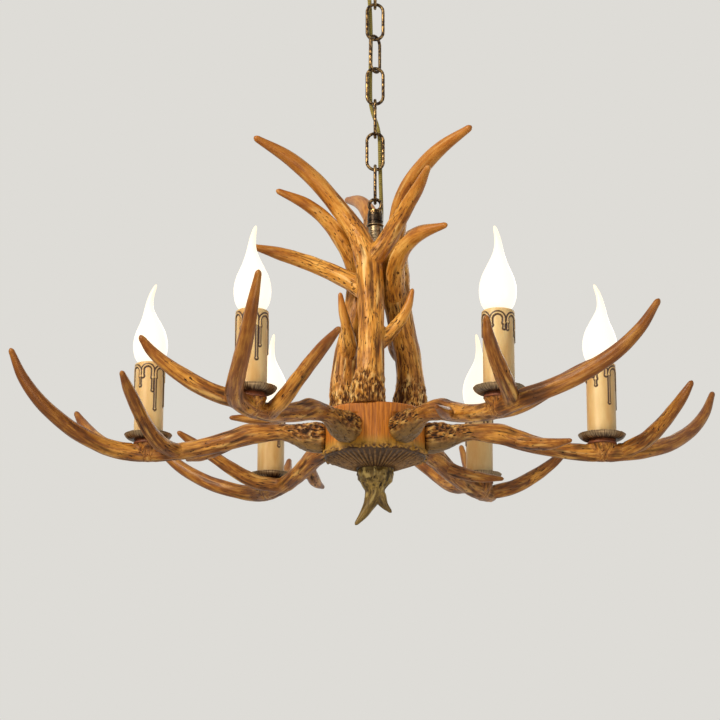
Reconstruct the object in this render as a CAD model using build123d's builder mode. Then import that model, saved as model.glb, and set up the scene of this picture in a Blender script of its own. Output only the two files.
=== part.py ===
"""Antler chandelier: six antler arms with candle lights round a hub, three upright
antlers as a crown, hung on a seven-link chain from a ceiling canopy.

Millimetres. The origin is the centre of the ceiling face, +Z up, +X to the right
and -Y towards the viewer.  Heights in the fixture are counted from the dish level,
the plane of the candle dishes, and places in it by u, out from the chandelier's
axis, and v, sideways from u.
"""
from math import atan2, cos, degrees, pi, radians, sin, tan
import os

from build123d import *

os.makedirs("parts", exist_ok=True)

# ---------------------------------------------------------------- fits
FIT = 0.1                    # radial clearance of a stem in its hole
LINK_GAP = 0.3               # play between two chain links that hang in each other
OVERCUT = 1.0                # how far a cutter runs past what it cuts

# ---------------------------------------------------------------- ceiling fitting
CANOPY_R = 58.0
CANOPY_DEPTH = 26.0
CANOPY_WALL = 1.2
CANOPY_RIM = 3.0             # straight edge against the ceiling
CANOPY_FLAT_R = 17.0         # flat round the centre hole
CANOPY_SHOULDER = (0.82, 0.62)   # fullest point, as shares of the radius and depth
CROSSBAR_L = 100.0
CROSSBAR_W = 18.0
CROSSBAR_T = 2.5
CROSSBAR_CORNER_R = 4.0
SLOT_SPACING = 70.0
SLOT_LENGTH = 14.0
SLOT_R = 2.5
NIPPLE_R = 5.0               # M10 lamp thread
NIPPLE_BORE_R = 3.2
NIPPLE_NUT_FLATS = 16.0
NIPPLE_NUT_H = 4.0
NIPPLE_NUT_GAP = 0.6
COLLAR_R = 11.0
COLLAR_H = 6.0
KNURLS = 24
KNURL_R = 0.8
CANOPY_LOOP_BASE_R = 8.0
CANOPY_LOOP_BASE_H = 6.0
CANOPY_LOOP_FILLET = 1.2
CANOPY_LOOP_R = 9.0          # ring, to the middle of its wire
CANOPY_LOOP_WIRE = 3.6

# ---------------------------------------------------------------- chain and cord
LINK_WIRE = 3.4
LINK_LENGTH = 43.6
LINK_WIDTH = 20.4
LINK_TURNS = (90, 0, 55, 0, 90, 0, 90)   # each link's plane about Z, 0 faces the viewer
CORD_D = 4.2
CORD_HOLE_GAP = 0.6
CORD_HOLE_R = CORD_D / 2 + CORD_HOLE_GAP

# ---------------------------------------------------------------- stem of the fixture
EYE_R = 6.2                  # eye, to the middle of its wire
EYE_WIRE = 3.5
EYE_BASE_R = 7.4
EYE_BASE_H = 3.4
EYE_STUD_L = 5.0
COUPLING_R = 8.0
COUPLING_H = 13.9
COUPLING_TOP = 237.6         # above the dish level
COUPLING_CHAMFER = 0.8
GROOVE_UP = 4.2              # from the coupling's lower end
GROOVE_W = 1.2
GROOVE_DEPTH = 0.8
ROD_R = 4.0
ROD_BORE_R = 2.4
ROD_END_GAP = 0.5            # to the eye's stud, and to the bottom of its socket
TUBE_R = 6.5

# ---------------------------------------------------------------- hub
HUB_R = 52.0
HUB_WAIST = 1.2              # in from the radius, at the dish level
HUB_FLARE = 2.0              # out from the radius, at the lower edge
HUB_TOP = 25.0
HUB_BOTTOM = -20.7
HUB_WALL = 6.0
HUB_ROOF = 5.0
HUB_EDGE = 1.5
SEAT_DEPTH = 2.0             # flat that an arm's burr sits on, in from the radius
SEAT_U = HUB_R - SEAT_DEPTH
SEAT_W = 31.6
SEAT_TOP = 15.0
FLUTED_INSET = 1.0
FLUTED_R = HUB_R - FLUTED_INSET
FLUTED_NECK_R = 18.6
FLUTED_DEPTH = 13.1
FLUTED_WALL = 3.0
FLUTED_LIP = 1.5
FLUTES = 36
FLUTE_R = 1.5
ROD_NUT_FLATS = 13.0
ROD_NUT_H = 5.0
ROD_WASHER_R = 10.0
ROD_WASHER_T = 1.6
FINIAL_SOCKET = 14.0

# ---------------------------------------------------------------- arms and candles
ARMS = 6
CANDLE_U = 230.0
BOLT_R = 3.0
BOLT_HEAD_R = 5.0
BOLT_HEAD_H = 4.0
BOLT_GRIP = 16.0             # length in the arm
BOLT_LEVEL = -1.0
BOSS_R = 14.5
BOSS_FOOT_R = 8.5
BOSS_H = 9.5
SPOT_FACE_H = 12.0           # room cleared over the boss for the dish's foot
COLLET_R = 15.0              # foot of the drip dish
COLLET_H = 5.0
COLLET_EDGE = 1.0
COLLET_TAPER = 1.2
DRIP_BASE = -3.5
DRIP_R = 24.2
DRIP_FLOOR_R = 16.5
DRIP_FLOOR_T = 1.5
DRIP_RISE = 6.2
DRIP_WALL = 1.1
DRIP_SHOULDER_IN = 1.5       # fullest point of the saucer's curve, in from its rim
DRIP_SHOULDER_DOWN = 2.6     # and down from it
SLEEVE_R = 14.75
SLEEVE_WALL = 1.6
SLEEVE_TOP = 76.0
SLEEVE_MOUTH_R = 12.6
SLEEVE_SHOULDER = 1.9
HOLDER_R = 12.4
HOLDER_TOP = 73.5
HOLDER_L = 45.5
HOLDER_NECK_R = 8.0
HOLDER_NECK_L = 16.0
HOLDER_BORE_R = 7.1
STEM_R = 5.0
STEM_BORE_R = 3.2
STEM_BOTTOM = -15.0
STEM_GRIP = 13.0             # length in the holder's neck
CAP_R = 6.75                 # small screw cap, 14 mm thread
CAP_L = 18.0
CONTACT_R = 3.0
CONTACT_L = 3.0
CONTACT_GAP = 1.0
GLASS_BOTTOM = 74.5
GLASS_WALL = 1.0
GLASS_OPEN_H = 62.0          # hollow part of the bulb

# ---------------------------------------------------------------- upright antlers
UPRIGHT_U = 34.0
UPRIGHTS = ((-98.0, 0.0), (22.0, -9.0), (142.0, 20.5))   # place round the hub, own turn
FOOT = (3.0, -3.0)           # middle of an upright's foot beside its place
SCREW_R = 2.4
SCREW_HEAD_R = 4.4
SCREW_HEAD_H = 3.2
SCREW_GRIP = 15.0

# ---------------------------------------------------------------- levels
canopy_bottom = -CANOPY_DEPTH
collar_bottom = canopy_bottom - COLLAR_H
loop_base_bottom = collar_bottom - CANOPY_LOOP_BASE_H
canopy_loop_z = loop_base_bottom - CANOPY_LOOP_R + CANOPY_LOOP_WIRE / 2
chain_top = canopy_loop_z - CANOPY_LOOP_R            # wire that the first link hangs on
link_reach = LINK_LENGTH - LINK_WIRE                 # between a link's two end wires
link_tops = []
link_ends = []
level = chain_top + (CANOPY_LOOP_WIRE + LINK_WIRE) / 2 + LINK_GAP
for _ in LINK_TURNS:
    link_tops.append(level)
    link_ends.append(level - link_reach)
    level = link_ends[-1] + LINK_WIRE + LINK_GAP
eye_top = link_ends[-1] + (EYE_WIRE + LINK_WIRE) / 2 + LINK_GAP
eye_z = eye_top - EYE_R
coupling_top = eye_z - EYE_R - EYE_BASE_H
coupling_bottom = coupling_top - COUPLING_H
dish_level = coupling_top - COUPLING_TOP
hub_top = dish_level + HUB_TOP
hub_bottom = dish_level + HUB_BOTTOM
fluted_bottom = hub_bottom - FLUTED_DEPTH
boss_top = DRIP_BASE - COLLET_H

# Middle line of the supply cord, from inside the canopy down through the chain's
# fifth link and the crown to the roof of the hub: x, y and height over the dish level.
CORD_ROUTE = (
    (-10.6, 10.9, 541), (-10.4, 10.3, 522), (-7.4, 7.6, 498), (-5.3, 5.5, 470),
    (-4.4, 5.0, 438), (-4.8, 5.4, 408), (-5.2, 4.9, 378), (-4.7, 4.3, 356),
    (4.6, 4.3, 331), (5.1, 4.9, 304), (5.5, 5.2, 278), (6.3, 7.0, 257),
    (6.8, 9.6, 238), (5.4, 10.8, 214), (3.7, 11.4, 184), (3.0, 11.9, 142),
    (3.3, 11.6, 96), (3.0, 11.9, 54), (3.2, 11.8, 17),
)

# Stations of the antlers: u, v, height over the dish level, radius.
ARM_BEAM = (
    (SEAT_U, 0, -1, 15.2), (SEAT_U + 8, 0, -1, 15.8), (SEAT_U + 17, 0, 0, 14.4), (79, 0, 2, 10.8),
    (97, 0, 5, 8.8), (126, 0, 3, 10.6), (146, 0, -3, 10.0), (168, 0, -9.5, 8.8),
    (198, 0, -15, 8.7), (230, 0, -16.5, 9.3), (252, 2, -15, 9.3), (271, 9, -12, 8.6),
    (291, 24, -5, 8.0), (310, 41, 5, 7.6), (331, 61, 22, 6.8), (347, 77, 43, 5.4),
    (357, 89, 66, 3.1),
)
ARM_FORK = (
    (250, 0, -15, 7.4), (262, -9, -11, 8.0), (273, -20, -6, 7.9), (285, -35, 4, 7.3),
    (296, -49, 16, 6.4), (305, -60, 28, 5.2), (312, -66, 39, 3.2),
)
ARM_INNER = (
    (196, -1, -15, 7.2), (208, 11, -14, 7.8), (219, 29, -9, 7.7), (229, 50, 4, 7.0),
    (236, 70, 18, 6.5), (242, 88, 30, 5.4), (246, 103, 40, 3.0),
)
ARM_SPUR = (
    (140, 0, -2, 7.2), (158, -12, -9, 6.8), (177, -28, -13, 5.6), (193, -45, -13.6, 2.4),
)
UPRIGHT_BEAM = (
    (3, -3, 25, 18), (4, -2, 40, 17), (5, 0.4, 62, 14.4), (1.5, 0.9, 92, 13.3),
    (-5.5, -0.3, 124, 13.6), (-10.5, -1.9, 157, 14), (-12, -5, 184, 13.6),
    (-14.4, -17.6, 214, 10.2), (-12, -39.5, 245, 9.0), (0, -60.4, 268.4, 8.5),
    (17, -84, 286.5, 7.1), (38.6, -111.3, 299.5, 3.6),
)
UPRIGHT_FORK = (
    (-9.5, -1, 178, 10.5), (-5, 14.4, 196.5, 9.6), (4.4, 28.8, 215.6, 8.3),
    (16.6, 41.8, 231, 7.3), (32.6, 54, 243.2, 6.0), (54.6, 65.4, 253.4, 3.2),
)
UPRIGHT_LOWER = (
    (-10.5, -2, 144, 10.5), (-17, -23, 160, 9.6), (-20, -48, 174.3, 8.8),
    (-17, -73, 184.5, 7.8), (-7, -96, 190.5, 6.6), (10.8, -118, 192.7, 3.1),
)
UPRIGHT_SPUR = (
    (1, 2, 84, 8.6), (-5.5, 13, 95, 7.6), (-7, 23, 105, 6.6), (-6.6, 31, 116, 5.5),
    (-5.3, 37.6, 128, 4.5), (-4.2, 42, 143.4, 2.5),
)
FINIAL_STEM = (
    (0, 0, -33.8, 16.8), (0, 0, -37, 18.4), (0, 0, -42, 17.6), (-0.5, 0, -48.5, 11.8),
    (-1, 0, -57, 10.0), (-4.5, 0, -67, 7.6), (-11, -1, -79, 5.0), (-18.2, -2, -88.5, 2.2),
)
FINIAL_FORK = ((0, 0, -54, 7.6), (4, 0, -63, 7.0), (10, 1, -72, 4.6), (15.2, 2, -78.6, 2.1))

# Bulb: offset of the flame from the axis, away from the hub, height over the glass's
# lower edge, radius.
FLAME = (
    (0, 0, 8.4), (0, 2.5, 11.6), (0, 8, 15.4), (0, 16, 17.4), (0, 25, 17.5),
    (0.2, 35, 15.2), (0.8, 44, 11.2), (1.7, 52, 7.6), (2.3, 60, 4.9), (1.7, 68, 3.5),
    (-0.2, 76, 2.6), (-2.9, 83, 1.8), (-4.2, 86, 0.9),
)


def save(piece, name):
    """Label a finished piece and write its file."""
    piece.part.label = name
    export_step(piece.part, f"parts/{name}.step")


def horn(stations):
    """Loft a beam or a prong through circles square to its middle line."""
    at = [Vector(u, v, dish_level + height) for u, v, height, _ in stations]
    radii = [r for *_, r in stations]
    ways = [(b - a).normalized() for a, b in zip([at[0]] + at[:-1], at[1:] + [at[-1]])]
    at.append(at[-1] + ways[-1] * radii[-1] * 0.7)   # rounds the tip
    radii.append(radii[-1] * 0.45)
    ways.append(ways[-1])
    side = Vector(0.2, 1, 0) if abs(ways[0].Z) > 0.7 else Vector(0, 0.3, 1)
    rings = []
    for middle, way, r in zip(at, ways, radii):
        across = side - way * side.dot(way)
        with BuildSketch(Plane(origin=middle, x_dir=across, z_dir=way)) as ring:
            Circle(r)
        rings.append(ring.sketch)
    loft(rings)


def polar(angle, u, v):
    """Point at u, v of a piece that is turned by an angle about Z."""
    turn = radians(angle)
    return (u * cos(turn) - v * sin(turn), u * sin(turn) + v * cos(turn))


def upright_screw_places():
    """Middles of the three uprights' feet on the hub's roof."""
    places = []
    for place, own_turn in UPRIGHTS:
        x, y = polar(place, UPRIGHT_U, 0)
        dx, dy = polar(place + own_turn, *FOOT)
        places.append((x + dx, y + dy))
    return places


# ================================================================ ceiling fitting
def canopy_shell():
    """Spun steel dome with a rim against the ceiling and a hole for the cord."""
    shoulder = (CANOPY_R * CANOPY_SHOULDER[0], canopy_bottom * CANOPY_SHOULDER[1])
    inside = (shoulder[0] - CANOPY_WALL * 0.7, shoulder[1] + CANOPY_WALL * 0.75)
    floor = canopy_bottom + CANOPY_WALL
    with BuildPart() as dome:
        with BuildSketch(Plane.XZ):
            with BuildLine():
                Line((CANOPY_R, 0), (CANOPY_R, -CANOPY_RIM))
                Spline(
                    (CANOPY_R, -CANOPY_RIM), shoulder, (CANOPY_FLAT_R, canopy_bottom),
                    tangents=((0, -1), (-1, 0)),
                )
                Polyline(
                    (CANOPY_FLAT_R, canopy_bottom), (NIPPLE_R + FIT, canopy_bottom),
                    (NIPPLE_R + FIT, floor), (CANOPY_FLAT_R, floor),
                )
                Spline(
                    (CANOPY_FLAT_R, floor), inside, (CANOPY_R - CANOPY_WALL, -CANOPY_RIM),
                    tangents=((1, 0), (0, 1)),
                )
                Polyline(
                    (CANOPY_R - CANOPY_WALL, -CANOPY_RIM), (CANOPY_R - CANOPY_WALL, 0),
                    (CANOPY_R, 0),
                )
            make_face()
        revolve(axis=Axis.Z)
        with Locations((CORD_ROUTE[0][0], CORD_ROUTE[0][1], canopy_bottom)):
            Cylinder(CORD_HOLE_R, 4 * CANOPY_WALL, mode=Mode.SUBTRACT)
    save(dome, "canopy_shell")


def crossbar():
    """Pressed bar that screws to the ceiling box through two slots."""
    with BuildPart() as bar:
        with BuildSketch():
            RectangleRounded(CROSSBAR_L, CROSSBAR_W, CROSSBAR_CORNER_R)
            with Locations((-SLOT_SPACING / 2, 0), (SLOT_SPACING / 2, 0)):
                SlotOverall(SLOT_LENGTH, 2 * SLOT_R, mode=Mode.SUBTRACT)
            Circle(NIPPLE_R + FIT, mode=Mode.SUBTRACT)
        extrude(amount=-CROSSBAR_T)
    save(bar, "crossbar")


def canopy_nipple():
    """Threaded tube that the canopy and the chain hang on."""
    bottom = collar_bottom - CANOPY_LOOP_BASE_H / 2
    with BuildPart() as tube:
        with BuildSketch(Plane.XY.offset(bottom)):
            Circle(NIPPLE_R)
            Circle(NIPPLE_BORE_R, mode=Mode.SUBTRACT)
        extrude(amount=-bottom)
    save(tube, "canopy_nipple")


def nipple_nuts():
    """Two hexagon nuts that lock the nipple under the crossbar."""
    with BuildPart() as nuts:
        for number in range(2):
            top = -CROSSBAR_T - number * (NIPPLE_NUT_H + NIPPLE_NUT_GAP)
            with BuildSketch(Plane.XY.offset(top)):
                RegularPolygon(NIPPLE_NUT_FLATS / 2, 6, major_radius=False)
                Circle(NIPPLE_R + FIT, mode=Mode.SUBTRACT)
            extrude(amount=-NIPPLE_NUT_H)
    save(nuts, "nipple_nuts")


def collar_ring():
    """Knurled ring nut that holds the canopy up."""
    with BuildPart() as collar:
        with BuildSketch(Plane.XY.offset(collar_bottom)):
            Circle(COLLAR_R)
            Circle(NIPPLE_R + FIT, mode=Mode.SUBTRACT)
            with PolarLocations(COLLAR_R, KNURLS):
                Circle(KNURL_R, mode=Mode.SUBTRACT)
        extrude(amount=COLLAR_H)
    save(collar, "collar_ring")


def canopy_loop():
    """Ring on the nipple's end that the first link hangs in."""
    with BuildPart() as loop:
        with BuildSketch(Plane.XY.offset(loop_base_bottom)):
            Circle(CANOPY_LOOP_BASE_R)
        extrude(amount=CANOPY_LOOP_BASE_H)
        fillet(loop.edges().filter_by(GeomType.CIRCLE).group_by(Axis.Z)[0], CANOPY_LOOP_FILLET)
        with Locations((0, 0, canopy_loop_z)):
            Torus(CANOPY_LOOP_R, CANOPY_LOOP_WIRE / 2, rotation=(90, 0, 0))
        with BuildSketch(Plane.XY.offset(collar_bottom)):
            Circle(NIPPLE_R + FIT)
        extrude(amount=-CANOPY_LOOP_BASE_H / 2, mode=Mode.SUBTRACT)
    save(loop, "canopy_loop")


# ================================================================ chain and cord
def chain_link(number):
    """One welded link, standing in its own upright plane."""
    turn = radians(LINK_TURNS[number])
    bend = (LINK_WIDTH - LINK_WIRE) / 2
    half = link_reach / 2 - bend
    upright = Plane(
        origin=(0, 0, (link_tops[number] + link_ends[number]) / 2),
        x_dir=(cos(turn), sin(turn), 0),
        z_dir=(sin(turn), -cos(turn), 0),
    )
    with BuildPart() as link:
        with BuildLine(upright) as path:
            Line((bend, -half), (bend, half))
            ThreePointArc((bend, half), (0, half + bend), (-bend, half))
            Line((-bend, half), (-bend, -half))
            ThreePointArc((-bend, -half), (0, -half - bend), (bend, -half))
        with BuildSketch(Plane(origin=path.line @ 0, z_dir=path.line % 0)):
            Circle(LINK_WIRE / 2)
        sweep()
    save(link, f"chain_link_{number + 1}")


def cord_radii(points):
    """Largest arcs that the runs beside each corner leave room for."""
    radii = []
    for before, corner, after in zip(points, points[1:], points[2:]):
        arriving = corner - before
        leaving = after - corner
        half_turn = radians(arriving.get_angle(leaving)) / 2
        radii.append(0.45 * min(arriving.length, leaving.length) / tan(half_turn))
    return radii


def supply_cord():
    """Fabric-covered cord, cut square at the middle of each link."""
    points = [Vector(x, y, dish_level + height) for x, y, height in CORD_ROUTE]
    radii = cord_radii(points)
    print("cord radii", [round(r) for r in radii])
    with BuildPart() as whole:
        with BuildLine():
            route = FilletPolyline(*points, radius=radii)
        with BuildSketch(Plane(origin=route @ 0, z_dir=route % 0)):
            Circle(CORD_D / 2)
        sweep(path=route)
    print("cord length", round(route.length, 1), "mm, volume", round(whole.part.volume),
          "against", round(route.length * pi * CORD_D ** 2 / 4))
    middles = [(top + end) / 2 for top, end in zip(link_tops, link_ends)]
    cuts = [0] + middles + [hub_bottom]
    for number, (high, low) in enumerate(zip(cuts, cuts[1:])):
        with BuildPart() as stretch:
            add(whole.part)
            with Locations((0, 0, (high + low) / 2)):
                Box(2 * CANOPY_R, 2 * CANOPY_R, high - low, mode=Mode.INTERSECT)
        save(stretch, f"supply_cord_{number + 1}")


# ================================================================ stem of the fixture
def top_loop():
    """Eye that hangs in the last link, on a threaded base."""
    with BuildPart() as eye:
        with BuildSketch(Plane.XY.offset(coupling_top)):
            Circle(EYE_BASE_R)
        extrude(amount=EYE_BASE_H)
        with BuildSketch(Plane.XY.offset(coupling_top)):
            Circle(ROD_R)
        extrude(amount=-EYE_STUD_L)
        with Locations((0, 0, eye_z)):
            Torus(EYE_R, EYE_WIRE / 2, rotation=(90, 0, 0))
    save(eye, "top_loop")


def loop_coupling():
    """Turned nut that joins the eye to the rod, with a groove round it."""
    with BuildPart() as nut:
        with BuildSketch(Plane.XY.offset(coupling_bottom)):
            Circle(COUPLING_R)
            Circle(ROD_R + FIT, mode=Mode.SUBTRACT)
        extrude(amount=COUPLING_H)
        outer_edges = nut.edges().filter_by(GeomType.CIRCLE).sort_by(SortBy.LENGTH)[-2:]
        chamfer(outer_edges, COUPLING_CHAMFER)
        with BuildSketch(Plane.XY.offset(coupling_bottom + GROOVE_UP)):
            Circle(COUPLING_R + OVERCUT)
            Circle(COUPLING_R - GROOVE_DEPTH, mode=Mode.SUBTRACT)
        extrude(amount=GROOVE_W, mode=Mode.SUBTRACT)
    save(nut, "loop_coupling")


def tie_rod():
    """Threaded tube from the coupling through the hub into the finial."""
    bottom = fluted_bottom - FINIAL_SOCKET + ROD_END_GAP
    top = coupling_top - EYE_STUD_L - ROD_END_GAP
    with BuildPart() as rod:
        with BuildSketch(Plane.XY.offset(bottom)):
            Circle(ROD_R)
            Circle(ROD_BORE_R, mode=Mode.SUBTRACT)
        extrude(amount=top - bottom)
    save(rod, "tie_rod")


def central_tube():
    """Plain cover tube round the rod, between the coupling and the hub."""
    with BuildPart() as tube:
        with BuildSketch(Plane.XY.offset(hub_top)):
            Circle(TUBE_R)
            Circle(ROD_R + FIT, mode=Mode.SUBTRACT)
        extrude(amount=coupling_bottom - hub_top)
    save(tube, "central_tube")


# ================================================================ hub
def hub_body():
    """Cast drum, open below, with a flat seat and a bolt hole for each arm."""
    inner = SEAT_U - HUB_WALL
    with BuildPart() as drum:
        with BuildSketch(Plane.XZ):
            with BuildLine():
                Line((0, hub_top), (HUB_R - HUB_EDGE, hub_top))
                Line((HUB_R - HUB_EDGE, hub_top), (HUB_R, hub_top - HUB_EDGE))
                Spline(
                    (HUB_R, hub_top - HUB_EDGE), (HUB_R - HUB_WAIST, dish_level),
                    (HUB_R + HUB_FLARE, hub_bottom),
                )
                Polyline(
                    (HUB_R + HUB_FLARE, hub_bottom), (inner, hub_bottom),
                    (inner, hub_top - HUB_ROOF), (0, hub_top - HUB_ROOF), (0, hub_top),
                )
            make_face()
        revolve(axis=Axis.Z)
        seat_height = SEAT_TOP - HUB_BOTTOM
        with Locations((0, 0, dish_level + (SEAT_TOP + HUB_BOTTOM) / 2)):
            with PolarLocations(SEAT_U + HUB_WALL, ARMS):
                Box(2 * HUB_WALL, SEAT_W, seat_height, mode=Mode.SUBTRACT)
        with Locations((0, 0, dish_level + BOLT_LEVEL)):
            with PolarLocations(SEAT_U - HUB_WALL / 2, ARMS):
                Cylinder(BOLT_R + FIT, 2 * HUB_WALL, rotation=(0, 90, 0), mode=Mode.SUBTRACT)
            with PolarLocations(inner - BOLT_HEAD_H / 2, ARMS):
                Cylinder(BOLT_HEAD_R + FIT, BOLT_HEAD_H, rotation=(0, 90, 0),
                         mode=Mode.SUBTRACT)
        with Locations((0, 0, hub_top)):
            Cylinder(ROD_R + FIT, 4 * HUB_ROOF, mode=Mode.SUBTRACT)
        with Locations(*[(x, y, hub_top) for x, y in upright_screw_places()]):
            Cylinder(SCREW_R + FIT, 4 * HUB_ROOF, mode=Mode.SUBTRACT)
        with Locations(*[(x, y, hub_top - HUB_ROOF) for x, y in upright_screw_places()]):
            Cylinder(SCREW_HEAD_R + FIT, SCREW_HEAD_H + FIT,
                     align=(Align.CENTER, Align.CENTER, Align.MAX), mode=Mode.SUBTRACT)
        with Locations((CORD_ROUTE[-1][0], CORD_ROUTE[-1][1], hub_top)):
            Cylinder(CORD_HOLE_R, 4 * HUB_ROOF, mode=Mode.SUBTRACT)
    save(drum, "hub_body")


def rod_nuts():
    """A nut and washer under the hub's roof and over the fluted dish's floor."""
    roof = hub_top - HUB_ROOF
    floor = fluted_bottom + FLUTED_WALL
    with BuildPart() as nuts:
        for washer_z, nut_z in (
            (roof - ROD_WASHER_T, roof - ROD_WASHER_T - ROD_NUT_H),
            (floor, floor + ROD_WASHER_T),
        ):
            with BuildSketch(Plane.XY.offset(washer_z)):
                Circle(ROD_WASHER_R)
                Circle(ROD_R + FIT, mode=Mode.SUBTRACT)
            extrude(amount=ROD_WASHER_T)
            with BuildSketch(Plane.XY.offset(nut_z)):
                RegularPolygon(ROD_NUT_FLATS / 2, 6, major_radius=False)
                Circle(ROD_R + FIT, mode=Mode.SUBTRACT)
            extrude(amount=ROD_NUT_H)
    save(nuts, "rod_nuts")


def fluted_dish():
    """Shallow cast dish that closes the hub, with radial flutes underneath."""
    run = FLUTED_R - FLUTED_NECK_R
    rise = FLUTED_DEPTH - FLUTED_LIP
    slope = degrees(atan2(run, rise))
    floor = fluted_bottom + FLUTED_WALL
    with BuildPart() as dish:
        with BuildSketch(Plane.XZ):
            with BuildLine():
                Polyline(
                    (ROD_R + FIT, fluted_bottom), (FLUTED_NECK_R, fluted_bottom),
                    (FLUTED_R, hub_bottom - FLUTED_LIP), (FLUTED_R, hub_bottom),
                    (SEAT_U - HUB_WALL, hub_bottom), (FLUTED_NECK_R, floor),
                    (ROD_R + FIT, floor), (ROD_R + FIT, fluted_bottom),
                )
            make_face()
        revolve(axis=Axis.Z)
        with Locations((0, 0, fluted_bottom + rise / 2)):
            with PolarLocations((FLUTED_R + FLUTED_NECK_R) / 2, FLUTES):
                Cylinder(FLUTE_R, 1.15 * run, rotation=(0, slope, 0), mode=Mode.SUBTRACT)
    save(dish, "fluted_dish")


def finial_antler():
    """Forked antler stub that screws on the rod under the hub."""
    with BuildPart() as finial:
        horn(FINIAL_STEM)
        horn(FINIAL_FORK)
        with Locations((0, 0, fluted_bottom)):
            Cylinder(ROD_R + FIT, 2 * FINIAL_SOCKET, mode=Mode.SUBTRACT)
    save(finial, "finial_antler")


# ================================================================ antler arms
def antler_arms():
    """Six castings from one mould: beam with its outer tine, a fork, an inner tine
    and a spur, a boss for the candle and holes for the bolt and the stem."""
    with BuildPart() as arm:
        horn(ARM_BEAM)
        horn(ARM_FORK)
        horn(ARM_INNER)
        horn(ARM_SPUR)
        with Locations((CANDLE_U, 0, dish_level + boss_top - BOSS_H / 2)):
            Cone(BOSS_FOOT_R, BOSS_R, BOSS_H)
        with Locations((CANDLE_U, 0, dish_level + boss_top)):
            Cylinder(COLLET_R + OVERCUT, SPOT_FACE_H, align=(Align.CENTER, Align.CENTER, Align.MIN),
                     mode=Mode.SUBTRACT)
        stem_depth = boss_top - STEM_BOTTOM + OVERCUT
        with Locations((CANDLE_U, 0, dish_level + boss_top - stem_depth / 2)):
            Cylinder(STEM_R + FIT, stem_depth, mode=Mode.SUBTRACT)
        with Locations((SEAT_U, 0, dish_level + BOLT_LEVEL)):
            Cylinder(BOLT_R + FIT, 2 * (BOLT_GRIP + OVERCUT), rotation=(0, 90, 0),
                     mode=Mode.SUBTRACT)
    for number in range(ARMS):
        with BuildPart() as casting:
            with Locations(Location((0, 0, 0), (0, 0, number * 360 / ARMS))):
                add(arm.part)
        save(casting, f"antler_arm_{number + 1}")


def arm_bolts():
    """Round-head bolts from inside the hub into the arms."""
    inner = SEAT_U - HUB_WALL
    with BuildPart() as bolts:
        with Locations((0, 0, dish_level + BOLT_LEVEL)):
            with PolarLocations(inner - BOLT_HEAD_H / 2, ARMS):
                Cylinder(BOLT_HEAD_R, BOLT_HEAD_H, rotation=(0, 90, 0))
            with PolarLocations(inner + (HUB_WALL + BOLT_GRIP) / 2, ARMS):
                Cylinder(BOLT_R, HUB_WALL + BOLT_GRIP, rotation=(0, 90, 0))
    save(bolts, "arm_bolts")


# ================================================================ upright antlers
def upright_antlers():
    """Three castings from one mould: beam with its top tine, a fork, a lower tine
    and a spur, screwed on the hub's roof and each turned its own way."""
    foot_r = UPRIGHT_BEAM[0][3]
    with BuildPart() as upright:
        horn(UPRIGHT_BEAM)
        horn(UPRIGHT_FORK)
        horn(UPRIGHT_LOWER)
        horn(UPRIGHT_SPUR)
        with Locations((FOOT[0], FOOT[1], hub_top)):
            Box(4 * foot_r, 4 * foot_r, 2 * foot_r,
                align=(Align.CENTER, Align.CENTER, Align.MAX), mode=Mode.SUBTRACT)
            Cylinder(SCREW_R + FIT, 2 * (SCREW_GRIP + OVERCUT), mode=Mode.SUBTRACT)
    for number, (place, own_turn) in enumerate(UPRIGHTS):
        x, y = polar(place, UPRIGHT_U, 0)
        with BuildPart() as casting:
            with Locations(Location((x, y, 0), (0, 0, place + own_turn))):
                add(upright.part)
        save(casting, f"upright_antler_{number + 1}")


def upright_screws():
    """Pan-head screws from inside the hub into the uprights' feet."""
    roof = hub_top - HUB_ROOF
    with BuildPart() as screws:
        with BuildSketch(Plane.XY.offset(roof)):
            with Locations(*upright_screw_places()):
                Circle(SCREW_HEAD_R)
        extrude(amount=-SCREW_HEAD_H)
        with BuildSketch(Plane.XY.offset(roof)):
            with Locations(*upright_screw_places()):
                Circle(SCREW_R)
        extrude(amount=HUB_ROOF + SCREW_GRIP)
    save(screws, "upright_screws")


# ================================================================ candle lights
def drip_dishes():
    """Spun metal saucers, each with a thick foot on its arm."""
    low = dish_level + boss_top
    floor = dish_level + DRIP_BASE
    rim = floor + DRIP_RISE
    shoulder = (DRIP_R - DRIP_SHOULDER_IN, rim - DRIP_SHOULDER_DOWN)
    inside = (shoulder[0] - 1.2 * DRIP_WALL, shoulder[1] + 0.36 * DRIP_WALL)
    with BuildPart() as dish:
        with BuildSketch(Plane.XZ):
            with BuildLine():
                Polyline((STEM_R + FIT, floor + DRIP_FLOOR_T), (STEM_R + FIT, low),
                         (COLLET_R - COLLET_EDGE, low), (COLLET_R, low + COLLET_EDGE),
                         (COLLET_R - COLLET_TAPER, floor), (DRIP_FLOOR_R, floor))
                Spline((DRIP_FLOOR_R, floor), shoulder, (DRIP_R, rim),
                       tangents=((1, 0.1), (0.2, 1)))
                Line((DRIP_R, rim), (DRIP_R - DRIP_WALL, rim))
                Spline((DRIP_R - DRIP_WALL, rim), inside, (DRIP_FLOOR_R, floor + DRIP_FLOOR_T),
                       tangents=((-0.2, -1), (-1, -0.1)))
                Line((DRIP_FLOOR_R, floor + DRIP_FLOOR_T), (STEM_R + FIT, floor + DRIP_FLOOR_T))
            make_face()
        revolve(axis=Axis.Z)
    for number in range(ARMS):
        with BuildPart() as copy:
            with PolarLocations(CANDLE_U, 1, start_angle=number * 360 / ARMS):
                add(dish.part)
        save(copy, f"drip_dish_{number + 1}")


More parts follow.
